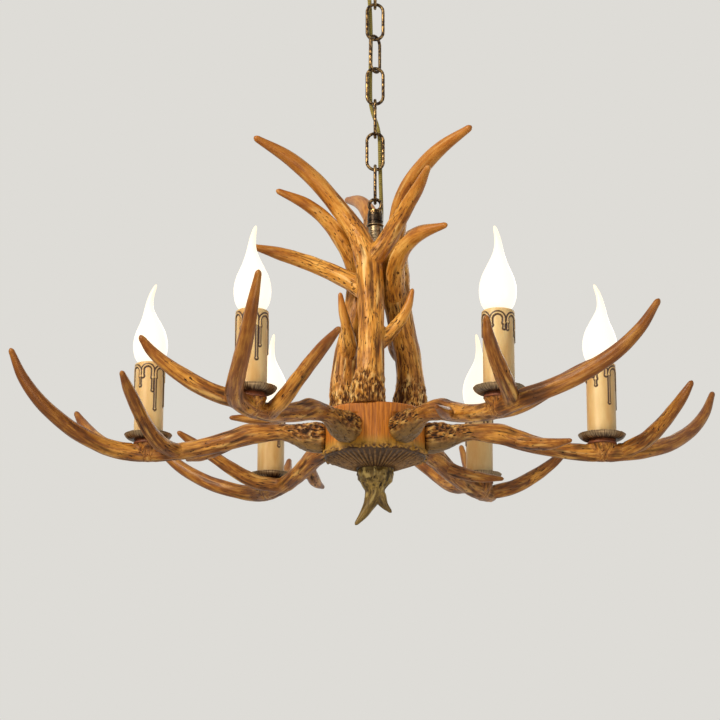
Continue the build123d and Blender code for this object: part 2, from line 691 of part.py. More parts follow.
def candle_sleeves():
    """Cast candle tubes with a rounded shoulder, standing on the dishes."""
    low = dish_level + DRIP_BASE + DRIP_FLOOR_T
    high = dish_level + SLEEVE_TOP
    with BuildPart() as sleeve:
        with BuildSketch(Plane.XY.offset(low)):
            Circle(SLEEVE_R)
            Circle(SLEEVE_R - SLEEVE_WALL, mode=Mode.SUBTRACT)
        extrude(amount=high - low)
        with BuildSketch(Plane.XY.offset(high)):
            Circle(SLEEVE_R)
            Circle(SLEEVE_MOUTH_R, mode=Mode.SUBTRACT)
        extrude(amount=-SLEEVE_WALL)
        outer_top = sleeve.edges().filter_by(GeomType.CIRCLE).group_by(Axis.Z)[-1]
        fillet(outer_top.sort_by(SortBy.RADIUS)[-1], SLEEVE_SHOULDER)
    for number in range(ARMS):
        with BuildPart() as copy:
            with PolarLocations(CANDLE_U, 1, start_angle=number * 360 / ARMS):
                add(sleeve.part)
        save(copy, f"candle_sleeve_{number + 1}")


def lampholders():
    """Screw lampholders inside the sleeves, each on the neck of its stem."""
    top = dish_level + HOLDER_TOP
    seat = GLASS_BOTTOM - CAP_L - CONTACT_L - CONTACT_GAP
    with BuildPart() as holder:
        with BuildSketch(Plane.XY.offset(top - HOLDER_L)):
            Circle(HOLDER_R)
        extrude(amount=HOLDER_L)
        with BuildSketch(Plane.XY.offset(dish_level + seat)):
            Circle(HOLDER_BORE_R)
        extrude(amount=HOLDER_TOP - seat, mode=Mode.SUBTRACT)
        with BuildSketch(Plane.XY.offset(top - HOLDER_L)):
            Circle(HOLDER_NECK_R)
        extrude(amount=-HOLDER_NECK_L)
        with BuildSketch(Plane.XY.offset(top - HOLDER_L - HOLDER_NECK_L)):
            Circle(STEM_R + FIT)
        extrude(amount=STEM_GRIP + OVERCUT, mode=Mode.SUBTRACT)
    with BuildPart() as row:
        with PolarLocations(CANDLE_U, ARMS):
            add(holder.part)
    save(row, "lampholders")


def holder_stems():
    """Threaded tubes that clamp holder, dish and arm together."""
    top = HOLDER_TOP - HOLDER_L - HOLDER_NECK_L + STEM_GRIP
    with BuildPart() as stems:
        with BuildSketch(Plane.XY.offset(dish_level + STEM_BOTTOM)):
            with PolarLocations(CANDLE_U, ARMS):
                Circle(STEM_R)
                Circle(STEM_BORE_R, mode=Mode.SUBTRACT)
        extrude(amount=top - STEM_BOTTOM)
    save(stems, "holder_stems")


def flame(shrink, top):
    """Loft the bulb's flame shape, made smaller by a wall and cut at a height."""
    rings = []
    for offset, height, r in FLAME:
        if height <= top:
            with BuildSketch(Plane.XY.offset(dish_level + GLASS_BOTTOM + height)) as ring:
                with Locations((offset, 0)):
                    Circle(r - shrink)
            rings.append(ring.sketch)
    loft(rings)


def bulbs():
    """Flame-shaped lamps with a bent tip: glass, screw cap and contact."""
    with BuildPart() as hollow:
        flame(GLASS_WALL, GLASS_OPEN_H)
    with BuildPart() as bulb:
        flame(0, FLAME[-1][1])
        add(hollow.part, mode=Mode.SUBTRACT)
        with BuildSketch(Plane.XY.offset(dish_level + GLASS_BOTTOM)):
            Circle(CAP_R)
        extrude(amount=-CAP_L)
        with BuildSketch(Plane.XY.offset(dish_level + GLASS_BOTTOM)):
            Circle(FLAME[0][2])
        extrude(amount=GLASS_WALL)
        with BuildSketch(Plane.XY.offset(dish_level + GLASS_BOTTOM - CAP_L)):
            Circle(CONTACT_R)
        extrude(amount=-CONTACT_L)
    for number in range(ARMS):
        with BuildPart() as copy:
            with PolarLocations(CANDLE_U, 1, start_angle=number * 360 / ARMS):
                add(bulb.part)
        save(copy, f"bulb_{number + 1}")


canopy_shell()
crossbar()
canopy_nipple()
nipple_nuts()
collar_ring()
canopy_loop()
for link_number in range(len(LINK_TURNS)):
    chain_link(link_number)
supply_cord()
top_loop()
loop_coupling()
tie_rod()
central_tube()
hub_body()
rod_nuts()
fluted_dish()
finial_antler()
antler_arms()
arm_bolts()
upright_antlers()
upright_screws()
drip_dishes()
candle_sleeves()
lampholders()
holder_stems()
bulbs()
print("dish level", round(dish_level, 2), "link ends", [round(z, 2) for z in link_ends])
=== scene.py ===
"""Antler chandelier, dressed: cast resin antlers, wax-look candle tubes, lit flame
bulbs and an antique bronze chain, hung before a plain pale backdrop.

Metres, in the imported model's frame. Tables of sizes are in millimetres and are
turned to metres where they are used. Heights in the fixture count from the dish
level, the plane of the candle dishes; u runs out from the chandelier's axis and v
sideways from u.
"""
from math import cos, pi, radians, sin

import bpy
import numpy as np
from mathutils import Matrix, Vector, noise


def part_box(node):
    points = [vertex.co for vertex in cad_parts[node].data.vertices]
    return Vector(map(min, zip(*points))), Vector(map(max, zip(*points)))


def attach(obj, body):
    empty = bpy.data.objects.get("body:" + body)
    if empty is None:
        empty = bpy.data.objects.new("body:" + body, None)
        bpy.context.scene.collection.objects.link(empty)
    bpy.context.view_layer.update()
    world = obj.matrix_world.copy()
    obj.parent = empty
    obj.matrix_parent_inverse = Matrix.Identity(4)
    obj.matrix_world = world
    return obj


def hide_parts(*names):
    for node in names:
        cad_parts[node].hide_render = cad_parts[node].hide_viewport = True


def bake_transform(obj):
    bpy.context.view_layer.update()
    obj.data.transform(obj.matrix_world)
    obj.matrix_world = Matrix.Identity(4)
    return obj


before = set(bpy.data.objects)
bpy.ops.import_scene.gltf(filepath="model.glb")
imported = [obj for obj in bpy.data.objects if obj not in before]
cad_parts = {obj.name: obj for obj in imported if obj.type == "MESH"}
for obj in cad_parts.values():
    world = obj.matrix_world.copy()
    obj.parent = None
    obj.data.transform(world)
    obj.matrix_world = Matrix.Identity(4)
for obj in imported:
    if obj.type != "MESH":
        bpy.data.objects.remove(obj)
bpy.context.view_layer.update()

MM = 0.001

# ---- sizes, millimetres
SLEEVE_FOOT = -2.0           # lower end of a candle sleeve, from the dish level
SLEEVE_TOP = 76.0
SLEEVE_R = 14.75
dish_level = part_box("candle_sleeve_1")[0][2] / MM - SLEEVE_FOOT
hub_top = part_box("hub_body")[1][2] / MM - dish_level
hub_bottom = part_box("hub_body")[0][2] / MM - dish_level
neck_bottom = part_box("fluted_dish")[0][2] / MM - dish_level
HUB_R = 52.0
HUB_INSIDE_R = 44.0
ROOF_T = 5                   # the hub's roof
ROD_HOLE_R = 5.2             # in the roof, for the rod through the middle
FLUTED_R = 51.0
NECK_R = 18.6                # lower, narrow end of the fluted dish
RIBS = 52
CANDLE_U = 230.0             # candles, from the axis
ARMS = 6
SEAT_U = 50.0                # flat that an arm is bolted to, on the hub's wall
SEAT_W = 31.6
SEAT_TOP = 15.0
BOSS_TOP = -8.5              # flat round boss on an arm, under the saucer
SPOT_FACE_R = 16.0           # room cleared over the boss
SPOT_FACE_H = 12.0
STATION_STEP = 2.5           # along an antler's prong
TINE_SIDES = 28
UPRIGHT_U = 34.0             # feet of the upright antlers, from the axis
UPRIGHTS = ((-98.0, 0.0), (22.0, -9.0), (142.0, 20.5))      # place and own turn, degrees
LINK_LENGTH = 43.6
LINK_WIDTH = 20.4
LINK_WIRE = 3.4
LINK_TURNS = (90, 0, 55, 0, 90, 0, 90)                      # as the photograph shows them

# Stations of the antlers: u, v, height over the dish level, radius.
ARM_BEAM = (
    (50, 0, -1, 15.2), (58, 0, -1, 15.8), (67, 0, 0, 14.4), (79, 0, 2, 10.8),
    (97, 0, 5, 8.8), (126, 0, 3, 10.6), (146, 0, -3, 10.0), (168, 0, -9.5, 8.8),
    (198, 0, -15, 8.7), (230, 0, -16.5, 9.3), (252, 2, -15, 9.3), (271, 9, -12, 8.6),
    (291, 24, -5, 8.0), (310, 41, 5, 7.6), (331, 61, 22, 6.8), (347, 77, 43, 5.4),
    (357, 89, 66, 3.1),
)
ARM_FORK = (
    (250, 0, -15, 7.4), (262, -9, -11, 8.0), (273, -20, -6, 7.9), (285, -35, 4, 7.3),
    (296, -49, 16, 6.4), (305, -60, 28, 5.2), (312, -66, 39, 3.2),
)
ARM_INNER = (
    (196, -1, -15, 7.2), (208, 11, -14, 7.8), (219, 29, -9, 7.7), (229, 50, 4, 7.0),
    (236, 70, 18, 6.5), (242, 88, 30, 5.4), (246, 103, 40, 3.0),
)
ARM_SPUR = (
    (140, 0, -2, 7.2), (158, -12, -9, 6.8), (177, -28, -13, 5.6), (193, -45, -13.6, 2.4),
)
ARM_BOSS = ((230, 0, -19, 8.5), (230, 0, -14, 11.4), (230, 0, -8.5, 14.5))
UPRIGHT_BEAM = (
    (3, -3, 25, 18), (4, -2, 40, 17), (5, 0.4, 62, 14.4), (1.5, 0.9, 92, 13.3),
    (-5.5, -0.3, 124, 13.6), (-10.5, -1.9, 157, 14), (-12, -5, 184, 13.6),
    (-14.4, -17.6, 214, 10.2), (-12, -39.5, 245, 9.0), (0, -60.4, 268.4, 8.5),
    (17, -84, 286.5, 7.1), (38.6, -111.3, 299.5, 3.6),
)
UPRIGHT_FORK = (
    (-9.5, -1, 178, 10.5), (-5, 14.4, 196.5, 9.6), (4.4, 28.8, 215.6, 8.3),
    (16.6, 41.8, 231, 7.3), (32.6, 54, 243.2, 6.0), (54.6, 65.4, 253.4, 3.2),
)
UPRIGHT_LOWER = (
    (-10.5, -2, 144, 10.5), (-17, -23, 160, 9.6), (-20, -48, 174.3, 8.8),
    (-17, -73, 184.5, 7.8), (-7, -96, 190.5, 6.6), (10.8, -118, 192.7, 3.1),
)
UPRIGHT_SPUR = (
    (1, 2, 84, 8.6), (-5.5, 13, 95, 7.6), (-7, 23, 105, 6.6), (-6.6, 31, 116, 5.5),
    (-5.3, 37.6, 128, 4.5), (-4.2, 42, 143.4, 2.5),
)
FINIAL_STEM = (
    (0, 0, -33.8, 16.8), (0, 0, -37, 18.4), (0, 0, -42, 17.2), (-0.5, 0, -48.5, 12.6),
    (-1, 0, -57, 9.6), (-4.5, 0, -67, 7.0), (-11, -1, -79, 4.6), (-18.2, -2, -88.5, 2.2),
)
FINIAL_FORK = ((0, 0, -52, 7.8), (4, 0, -60, 6.8), (8.6, 1, -69, 4.4), (14.6, 2, -75.4, 2.1))

# Bulb: offset of the flame from its axis, height over the glass's lower edge, radius.
GLASS_BOTTOM = 74.5
FLAME = (
    (0, 0, 8.4), (0, 2.5, 11.6), (0, 8, 15.4), (0, 16, 17.4), (0, 25, 17.5),
    (0.2, 35, 15.2), (0.8, 44, 11.2), (1.7, 52, 7.6), (2.3, 60, 4.9), (1.7, 68, 3.5),
    (-0.2, 76, 2.6), (-2.9, 83, 1.8), (-4.2, 86, 0.9),
)

# Supply cord: control points of its middle line, x, y and height over the dish level.
CORD_D = 4.2
CORD_ROUTE = (
    (-10.6, 10.9, 541), (-10.4, 10.3, 522), (-7.4, 7.6, 498), (-5.3, 5.5, 470),
    (-4.4, 5.0, 438), (-4.8, 5.4, 408), (-5.2, 4.9, 378), (-4.7, 4.3, 356),
    (4.6, 4.3, 331), (5.1, 4.9, 304), (5.5, 5.2, 278), (6.3, 7.0, 257),
    (6.8, 9.6, 238), (5.4, 10.8, 214), (3.7, 11.4, 184), (3.0, 11.9, 142),
    (3.3, 11.6, 96), (3.0, 11.9, 54), (3.2, 11.8, 17),
)

# ---- view and light, metres
LENS = 111.5                 # on a 36 mm sensor
LENS_SHIFT = -0.0210
CAMERA_BACK = 2.207
CAMERA_LOW = 493             # millimetres under the dish level
CAMERA_TILT = 14.57          # degrees upwards
FLOOR = -2.6
FLOOR_REACH = 9
ROOM = "#DEDCD7"             # backdrop, as it is seen
ROOM_LIGHT = "#F4ECDC"       # light that it sheds
LAMPS = (                    # name, place, side, watts, colour
    ("key", (-1.4, -1.7, 0.6), 0.8, 54, "#FFEBCE"),
    ("fill", (2.0, -1.8, -0.7), 1.4, 9, "#FFF0DE"),
    ("low", (0.1, -1.6, -1.5), 0.9, 10, "#FFE9CC"),
    ("rim", (0.9, 1.9, 0.5), 0.9, 7, "#FFF4E6"),
)


# ==== node trees
def linear(code):
    """Linear colour of an sRGB hex code."""
    parts = [int(code[i:i + 2], 16) / 255 for i in (1, 3, 5)]
    return [c / 12.92 if c <= 0.04045 else ((c + 0.055) / 1.055) ** 2.4 for c in parts] + [1.0]


def plug(tree, node, inputs):
    """Set a node's inputs, or link them where another node's output is given."""
    for name, value in dict(inputs).items():
        if isinstance(value, bpy.types.NodeSocket):
            tree.links.new(value, node.inputs[name])
        else:
            node.inputs[name].default_value = value


def add(tree, kind, inputs=(), **settings):
    """Add one node with its settings and its inputs."""
    node = tree.nodes.new(kind)
    for name, value in settings.items():
        setattr(node, name, value)
    plug(tree, node, inputs)
    return node


def first(tree, kind, inputs=(), **settings):
    """First output of a new node."""
    return add(tree, kind, inputs, **settings).outputs[0]


def maths(tree, operation, *values):
    return first(tree, "ShaderNodeMath", enumerate(values), operation=operation)


def vector(tree, **parts):
    return first(tree, "ShaderNodeCombineXYZ", parts)


def attribute(tree, name, kind="Fac"):
    return add(tree, "ShaderNodeAttribute", attribute_name=name).outputs[kind]


def object_place(tree):
    return add(tree, "ShaderNodeTexCoord").outputs["Object"]


def noise_at(tree, place, scale, **more):
    """Noise with cells to the metre given by one number, or by one for each axis."""
    if isinstance(scale, tuple):
        place = first(tree, "ShaderNodeMapping", {"Vector": place, "Scale": scale})
        scale = 1.0
    return add(tree, "ShaderNodeTexNoise", {"Vector": place, "Scale": scale, **more}).outputs["Fac"]


def ranged(tree, value, low, high, to_low=0.0, to_high=1.0, **settings):
    """A value from low to high, laid out from to_low to to_high and held there."""
    return first(tree, "ShaderNodeMapRange", {
        "Value": value, "From Min": low, "From Max": high, "To Min": to_low, "To Max": to_high},
        **settings)


def ramp(tree, value, *stops):
    """Colour for a value between stops of a place and a hex code, the two ends first."""
    node = add(tree, "ShaderNodeValToRGB", {"Fac": value})
    elements = node.color_ramp.elements
    for number, (place, code) in enumerate(stops):
        stop = elements[number] if number < 2 else elements.new(place)
        stop.position = place
        stop.color = linear(code)
    return node.outputs[0]


def mixed(tree, share, under, over):
    """Colour under, covered by a share of the hex code over."""
    return add(tree, "ShaderNodeMix", {0: share, 6: under, 7: linear(over)},
               data_type="RGBA").outputs[2]


def bump(tree, height, strength, distance):
    return first(tree, "ShaderNodeBump", {"Height": height, "Strength": strength,
                                          "Distance": distance})


def material(name):
    """A new material: its tree and its Principled shader."""
    made = bpy.data.materials.new(name)
    made.use_nodes = True
    return made, made.node_tree, made.node_tree.nodes["Principled BSDF"]


# ==== small tools
def placed(name, data):
    """A new object of some data, in the scene."""
    shown = bpy.data.objects.new(name, data)
    bpy.context.scene.collection.objects.link(shown)
    return shown


def piece(name, mesh, body, finish, node=None):
    """Put a finished mesh in the scene, on its body if it has one, in its material."""
    shown = placed(name, mesh)
    mesh.materials.clear()
    mesh.materials.append(finish)
    mesh.polygons.foreach_set("use_smooth", [True] * len(mesh.polygons))
    if body:
        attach(shown, body)
    if node:
        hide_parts(node)
    return shown


def spline(stations, step):
    """Points every step along a smooth curve through the stations, all columns alike."""
    at = np.array(stations, float)
    ends = np.vstack([2 * at[0] - at[1], at, 2 * at[-1] - at[-2]])
    rows = []
    for i in range(1, len(ends) - 2):
        before, a, b, after = ends[i - 1:i + 3]
        count = max(2, int(np.linalg.norm((b - a)[:3]) / step))
        t = (np.arange(count) / count)[:, None]
        rows.append(0.5 * (2 * a + (b - before) * t + (2 * before - 5 * a + 4 * b - after) * t ** 2
                           + (3 * a - before - 3 * b + after) * t ** 3))
    return np.vstack(rows + [at[-1:]])


def walked(points):
    """Length of the way to each point."""
    return np.concatenate([[0], np.cumsum(np.linalg.norm(np.diff(points, axis=0), axis=1))])


def frames(points):
    """Unit tangents and two cross directions that don't twist along the points."""
    ways = np.gradient(points, axis=0)
    ways /= np.linalg.norm(ways, axis=1)[:, None]
    side = np.array((0.0, 1.0, 0.0)) if abs(ways[0][1]) < 0.8 else np.array((1.0, 0.0, 0.0))
    across = []
    for way in ways:
        side = side - way * (side @ way)
        side = side / np.linalg.norm(side)
        across.append(side)
    across = np.array(across)
    return ways, across, np.cross(ways, across)


def sheet(rings, sides, strips):
    """Faces between neighbouring rings of points; after the last ring comes the first."""
    i, j = np.meshgrid(np.arange(strips), np.arange(sides), indexing="ij")
    low, high, after = i * sides, (i + 1) % rings * sides, (j + 1) % sides
    return np.stack([low + j, low + after, high + after, high + j], -1).reshape(-1, 4).tolist()


def tube(points, radii, sides, cross=None):
    """Vertices and faces of a round tube along points, with end faces. Its two cross
    directions are those given, or the ones that don't twist."""
    across, other = cross or frames(points)[1:]
    turn = np.arange(sides) * 2 * pi / sides
    rings = (points[:, None] + radii[:, None, None]
             * (across[:, None] * np.cos(turn)[:, None] + other[:, None] * np.sin(turn)[:, None]))
    count = len(points)
    ends = [list(range(sides))[::-1], list(range((count - 1) * sides, count * sides))]
    return rings.reshape(-1, 3), sheet(count, sides, count - 1) + ends


def mesh_of(name, vertices, faces):
    """A mesh in metres from millimetre vertices."""
    made = bpy.data.meshes.new(name)
    made.from_pydata((np.asarray(vertices) * MM).tolist(), [], faces)
    made.update()
    return made


def final_mesh(shown, name):
    """Plain mesh of an object with its modifiers applied; the object goes."""
    graph = bpy.context.evaluated_depsgraph_get()
    mesh = bpy.data.meshes.new_from_object(shown.evaluated_get(graph))
    mesh.name = name
    bpy.data.objects.remove(shown)
    return mesh


def read(mesh, what="position"):
    """Vertex positions, in millimetres, or vertex normals, as an array."""
    rows = np.empty(len(mesh.vertices) * 3, np.float32)
    if what == "position":
        mesh.vertices.foreach_get("co", rows)
        return rows.reshape(-1, 3).astype(float) / MM
    mesh.vertex_normals.foreach_get("vector", rows)
    return rows.reshape(-1, 3).astype(float)


def write(mesh, vertices, **attributes):
    """Write positions in millimetres back, and named values or vectors."""
    mesh.vertices.foreach_set("co", (vertices * MM).astype(np.float32).ravel())
    for name, values in attributes.items():
        kind = "FLOAT" if values.ndim == 1 else "FLOAT_VECTOR"
        layer = mesh.attributes.new(name, kind, "POINT")
        layer.data.foreach_set("value" if kind == "FLOAT" else "vector",
                               values.astype(np.float32).ravel())
    mesh.update()


def grained(points, scale, seed):
    """Smooth noise from -1 to 1 at each point, after dividing by scale."""
    return np.array([noise.noise(Vector(p)) for p in points / np.array(scale) + seed])


def cells(points, scale, seed):
    """Distance to the nearest cell centre, 0 in a cell's middle, at each point."""
    return np.array([noise.voronoi(Vector(p))[0][0] for p in points / np.array(scale) + seed])


def smoothstep(low, high, value):
    """0 at low, 1 at high and smooth between; low may be the greater."""
    t = np.clip((value - low) / (high - low), 0, 1)
    return t * t * (3 - 2 * t)


def moved(x, y, z):
    return Matrix.Translation((x * MM, y * MM, z * MM))


def turned(angle):
    return Matrix.Rotation(radians(angle), 4, "Z")


def copied(mesh, name, place):
    """A copy of a mesh, put in its place by a matrix."""
    made = mesh.copy()
    made.name = name
    made.transform(place)
    return made


def polar(angle, u):
    return u * cos(radians(angle)), u * sin(radians(angle))


# ==== materials
def antler_resin(name, bright, pale, mid, stain, tip, pit_colour, pits):
    """Cast polyresin, hand-stained like shed antler: dark stain stays in the pits and
    grooves, a painted shadow lies along an arm's seat on the hub, ridges and the burr's
    knob tops carry a painted highlight, tips are smooth and have their own colour, and the
    arms' burrs are olive underneath."""
    made, tree, shader = material(name)
    grain = attribute(tree, "grain", "Vector")
    tips = attribute(tree, "tip")

    def along(lengthways, crossways, **more):
        """Noise drawn out along the grain: cells to the metre each way."""
        return noise_at(tree, grain, (lengthways, crossways, crossways), **more)

    # blotches of stain about 30 mm across, streaks 22 mm long, hair-fine fibre
    blotch = noise_at(tree, object_place(tree), 36.0, Detail=3.0)
    streak = along(45, 330, Detail=4.0, Roughness=0.62, Distortion=0.4)
    fibre = along(60, 1500, Detail=2.0)
    tone = maths(tree, "MULTIPLY_ADD", blotch, 0.9,
                 maths(tree, "MULTIPLY_ADD", fibre, 0.45, streak))
    colour = ramp(tree, ranged(tree, tone, 0.92, 1.42), (0.0, stain), (1.0, pale), (0.45, mid))
    colour = mixed(tree, maths(tree, "MULTIPLY", tips, 0.62), colour, tip)
    # painted highlight in the colour bright, on the ridges and the burr's knob tops
    colour = mixed(tree, attribute(tree, "ridge"), colour, bright)
    colour = mixed(tree, attribute(tree, "under"), colour, "#74603A")
    # dashed pits about 1 mm wide and 5 mm long, most of them where patches allow
    dash = along(150, 760, Detail=1.5, Distortion=0.6)
    patch = along(26, 60, Detail=2.0)
    reach = maths(tree, "MULTIPLY_ADD", attribute(tree, "burr"), 0.10, pits)
    reach = maths(tree, "MULTIPLY_ADD", tips, -0.16, reach)
    limit = maths(tree, "MULTIPLY_ADD", patch, -0.22, maths(tree, "SUBTRACT", 0.85, reach))
    hole = ranged(tree, dash, limit, maths(tree, "ADD", limit, 0.055),
                  interpolation_type="SMOOTHSTEP")
    # the groove attribute holds stain in the pits and grooves and, on the arms, a painted shadow
    # along the hub seam
    dark = maths(tree, "MAXIMUM", hole, attribute(tree, "groove"))
    height = maths(tree, "SUBTRACT", maths(tree, "MULTIPLY_ADD", fibre, 0.14, streak), hole)
    firm = maths(tree, "MULTIPLY_ADD", tips, -0.6, 0.75)
    plug(tree, shader, {"Base Color": mixed(tree, dark, colour, pit_colour),
                        "Roughness": ranged(tree, dark, 0.0, 1.0, 0.38, 0.75),
                        "Normal": bump(tree, height, firm, 0.0009),
                        "Specular IOR Level": 0.34})
    return made


def grained_resin(name, pale, dark, scale):
    """Polyresin cast from carved wood and stained, with grain of that many cells a metre."""
    made, tree, shader = material(name)
    grain = noise_at(tree, object_place(tree), scale, Detail=5.0, Roughness=0.65)
    colour = ramp(tree, grain, (0.34, dark), (0.60, pale))
    plug(tree, shader, {"Base Color": colour, "Normal": bump(tree, grain, 0.8, 0.0006),
                        "Roughness": 0.5})
    return made, tree, shader, colour


def hub_resin():
    """Orange-brown upright grain, paler and greener on the flare, dark in the torn rim."""
    made, tree, shader, colour = grained_resin("hub_resin", "#D48629", "#8E4C17", (520, 520, 20))
    colour = mixed(tree, attribute(tree, "rim"), colour, "#B08F3C")
    colour = mixed(tree, attribute(tree, "groove"), colour, "#4A2C14")
    plug(tree, shader, {"Base Color": colour})
    return made


def antique_metal(name, base, worn, scale, wear, roughness, metallic):
    """Steel or brass with a sprayed antique finish: dark, with the bright metal rubbed
    through in speckles."""
    made, tree, shader = material(name)
    speck = noise_at(tree, object_place(tree), scale, Detail=5.0, Roughness=0.7)
    plug(tree, shader, {
        "Base Color": ramp(tree, speck, (wear, base), (wear + 0.14, worn)),
        "Roughness": ranged(tree, speck, 0.0, 1.0, roughness + 0.15, roughness - 0.12),
        "Normal": bump(tree, speck, 0.45, 0.0004), "Metallic": metallic})
    return made


def brushed_saucer():
    """Antique bronze, brushed back to silver-brown in strokes from the middle out."""
    made, tree, shader = material("brushed_saucer")
    brush = attribute(tree, "brush", "Vector")
    radius = add(tree, "ShaderNodeSeparateXYZ", {0: brush}).outputs["Y"]
    stroke = noise_at(tree, brush, (1100, 130, 1), Detail=3.0)
    worn = maths(tree, "ADD", stroke, ranged(tree, radius, 0.016, 0.024, -0.08, 0.12))
    plug(tree, shader, {
        "Base Color": ramp(tree, worn, (0.36, "#2C2018"), (0.66, "#A08A6A"), (0.48, "#5C4836")),
        "Normal": bump(tree, stroke, 0.4, 0.0003), "Metallic": 0.6, "Roughness": 0.42})
    return made


def wax_resin():
    """Cream resin cast like dripping wax, with brown stain left round each drip."""
    made, tree, shader = material("wax_resin")
    patch = noise_at(tree, object_place(tree), (60, 60, 14), Detail=4.0)
    cream = ramp(tree, patch, (0.32, "#C79C5A"), (0.62, "#E6CF9C"))
    plug(tree, shader, {
        # stain round the drips, and darker towards the sleeve's foot
        "Base Color": mixed(tree, attribute(tree, "stain"), cream, "#3A1C0A"),
        "Normal": bump(tree, patch, 0.2, 0.0005), "Roughness": 0.42,
        "Subsurface Weight": 0.12, "Subsurface Radius": (0.004, 0.002, 0.001)})
    return made


def frosted_glass():
    """Opal-frosted flame bulb, lit: warm white, a little yellower at its thin tip."""
    made, tree, shader = material("frosted_glass")
    light = ramp(tree, attribute(tree, "thin"), (0.0, "#FFF8EA"), (1.0, "#FFEFD2"))
    plug(tree, shader, {"Emission Color": light, "Emission Strength": 0.95,
                        "Base Color": linear("#B9AC93"), "Roughness": 0.3})
    return made


def plain_metal(name, colour, roughness):
    """Zinc-plated or nickel-plated steel with faint drawn lines."""
    made, tree, shader = material(name)
    line = noise_at(tree, object_place(tree), (300, 300, 2500))
    rough = ranged(tree, line, 0.0, 1.0, roughness - 0.08, roughness + 0.12)
    plug(tree, shader, {"Roughness": rough, "Base Color": linear(colour), "Metallic": 1.0})
    return made


def phenolic():
    """Black moulded phenolic, slightly mottled."""
    made, tree, shader = material("phenolic")
    mottle = noise_at(tree, object_place(tree), 400.0)
    plug(tree, shader, {"Base Color": ramp(tree, mottle, (0.3, "#121010"), (0.7, "#1E1B19")),
                        "Roughness": 0.3})
    return made


def braided_fabric():
    """Olive-gold rayon braid over the cord, drawn coarse so that it shows: 2.2 mm
    diamonds."""
    made, tree, shader = material("braided_fabric")
    parts = add(tree, "ShaderNodeSeparateXYZ", {0: attribute(tree, "braid", "Vector")}).outputs
    waves = [maths(tree, "SINE", maths(tree, "MULTIPLY_ADD", parts[1], strands, parts[0]))
             for strands in (6.0, -6.0)]
    weave = maths(tree, "MULTIPLY", *waves)
    colour = ramp(tree, ranged(tree, weave, -1.0, 1.0), (0.25, "#57501C"), (0.75, "#A69B45"))
    plug(tree, shader, {"Base Color": colour, "Normal": bump(tree, weave, 0.5, 0.0003),
                        "Roughness": 0.75, "Sheen Weight": 0.4})
    return made


def seen_rays(tree):
    """1 for rays from the camera and those that metal or glass send on, 0 for light."""
    path = add(tree, "ShaderNodeLightPath").outputs
    mirrored = maths(tree, "MAXIMUM", path["Is Camera Ray"], path["Is Glossy Ray"])
    return maths(tree, "MAXIMUM", mirrored, path["Is Transmission Ray"])


def floor_paper():
    """Matt pale paper, as pale as the room where the camera or a reflection sees it."""
    made, tree, shader = material("pale_paper")
    tooth = noise_at(tree, object_place(tree), 3.0)
    plug(tree, shader, {"Base Color": ramp(tree, tooth, (0.3, "#E6E4E0"), (0.7, "#EBE9E5")),
                        "Roughness": 0.95})
    even = first(tree, "ShaderNodeEmission", {"Color": linear(ROOM), "Strength": 1.0})
    share = maths(tree, "MULTIPLY", seen_rays(tree), 0.8)
    both = first(tree, "ShaderNodeMixShader", {0: share, 1: shader.outputs[0], 2: even})
    surface = next(node for node in tree.nodes if node.type == "OUTPUT_MATERIAL")
    plug(tree, surface, {"Surface": both})
    return made


# Copies of one stained resin: the crown's is painted lighter, as lit, and the arms' darker, as in
# shade.
# The first colour given to each antler resin is its painted highlight.
SHADED_ARM_FINISH = antler_resin("arm_resin_shaded", "#EBC072", "#D39A44", "#8F581C", "#573210", "#7A4512",
                          "#261205", 0.09)
LIT_CROWN_FINISH = antler_resin("crown_resin_lit", "#F9D68C", "#EBB65C", "#C98A34", "#8A5520", "#9A5618",
                            "#54300F", 0.13)
FINIAL_FINISH = antler_resin("finial_resin", "#BCA96A", "#9E8645", "#6E5929", "#453315", "#715D2A",
                             "#20150A", 0.05)
HUB_FINISH = hub_resin()
RIB_FINISH = grained_resin("rib_resin", "#8E6C40", "#4A3119", (260, 260, 260))[0]
FLUTED_FINISH = grained_resin("fluted_resin", "#5C4124", "#2A190C", (260, 260, 260))[0]
COLLAR_FINISH = grained_resin("collar_resin", "#7E4526", "#4A2413", (120, 120, 500))[0]
BRONZE = antique_metal("antique_bronze", "#30231A", "#A98C5E", 380.0, 0.47, 0.36, 0.9)
BLACK_BRONZE = antique_metal("black_bronze", "#2A221B", "#7C684C", 300.0, 0.54, 0.36, 0.8)
BRUSHED_BRONZE = antique_metal("brushed_bronze", "#6A5C48", "#B8A88A", 300.0, 0.42, 0.38, 0.9)
DISH_BRONZE = brushed_saucer()
ZINC = plain_metal("zinc_plate", "#B9BBBC", 0.32)
NICKEL = plain_metal("nickel_plate", "#C9C4B6", 0.22)
WAX = wax_resin()
GLASS = frosted_glass()
PHENOLIC = phenolic()
BRAID = braided_fabric()


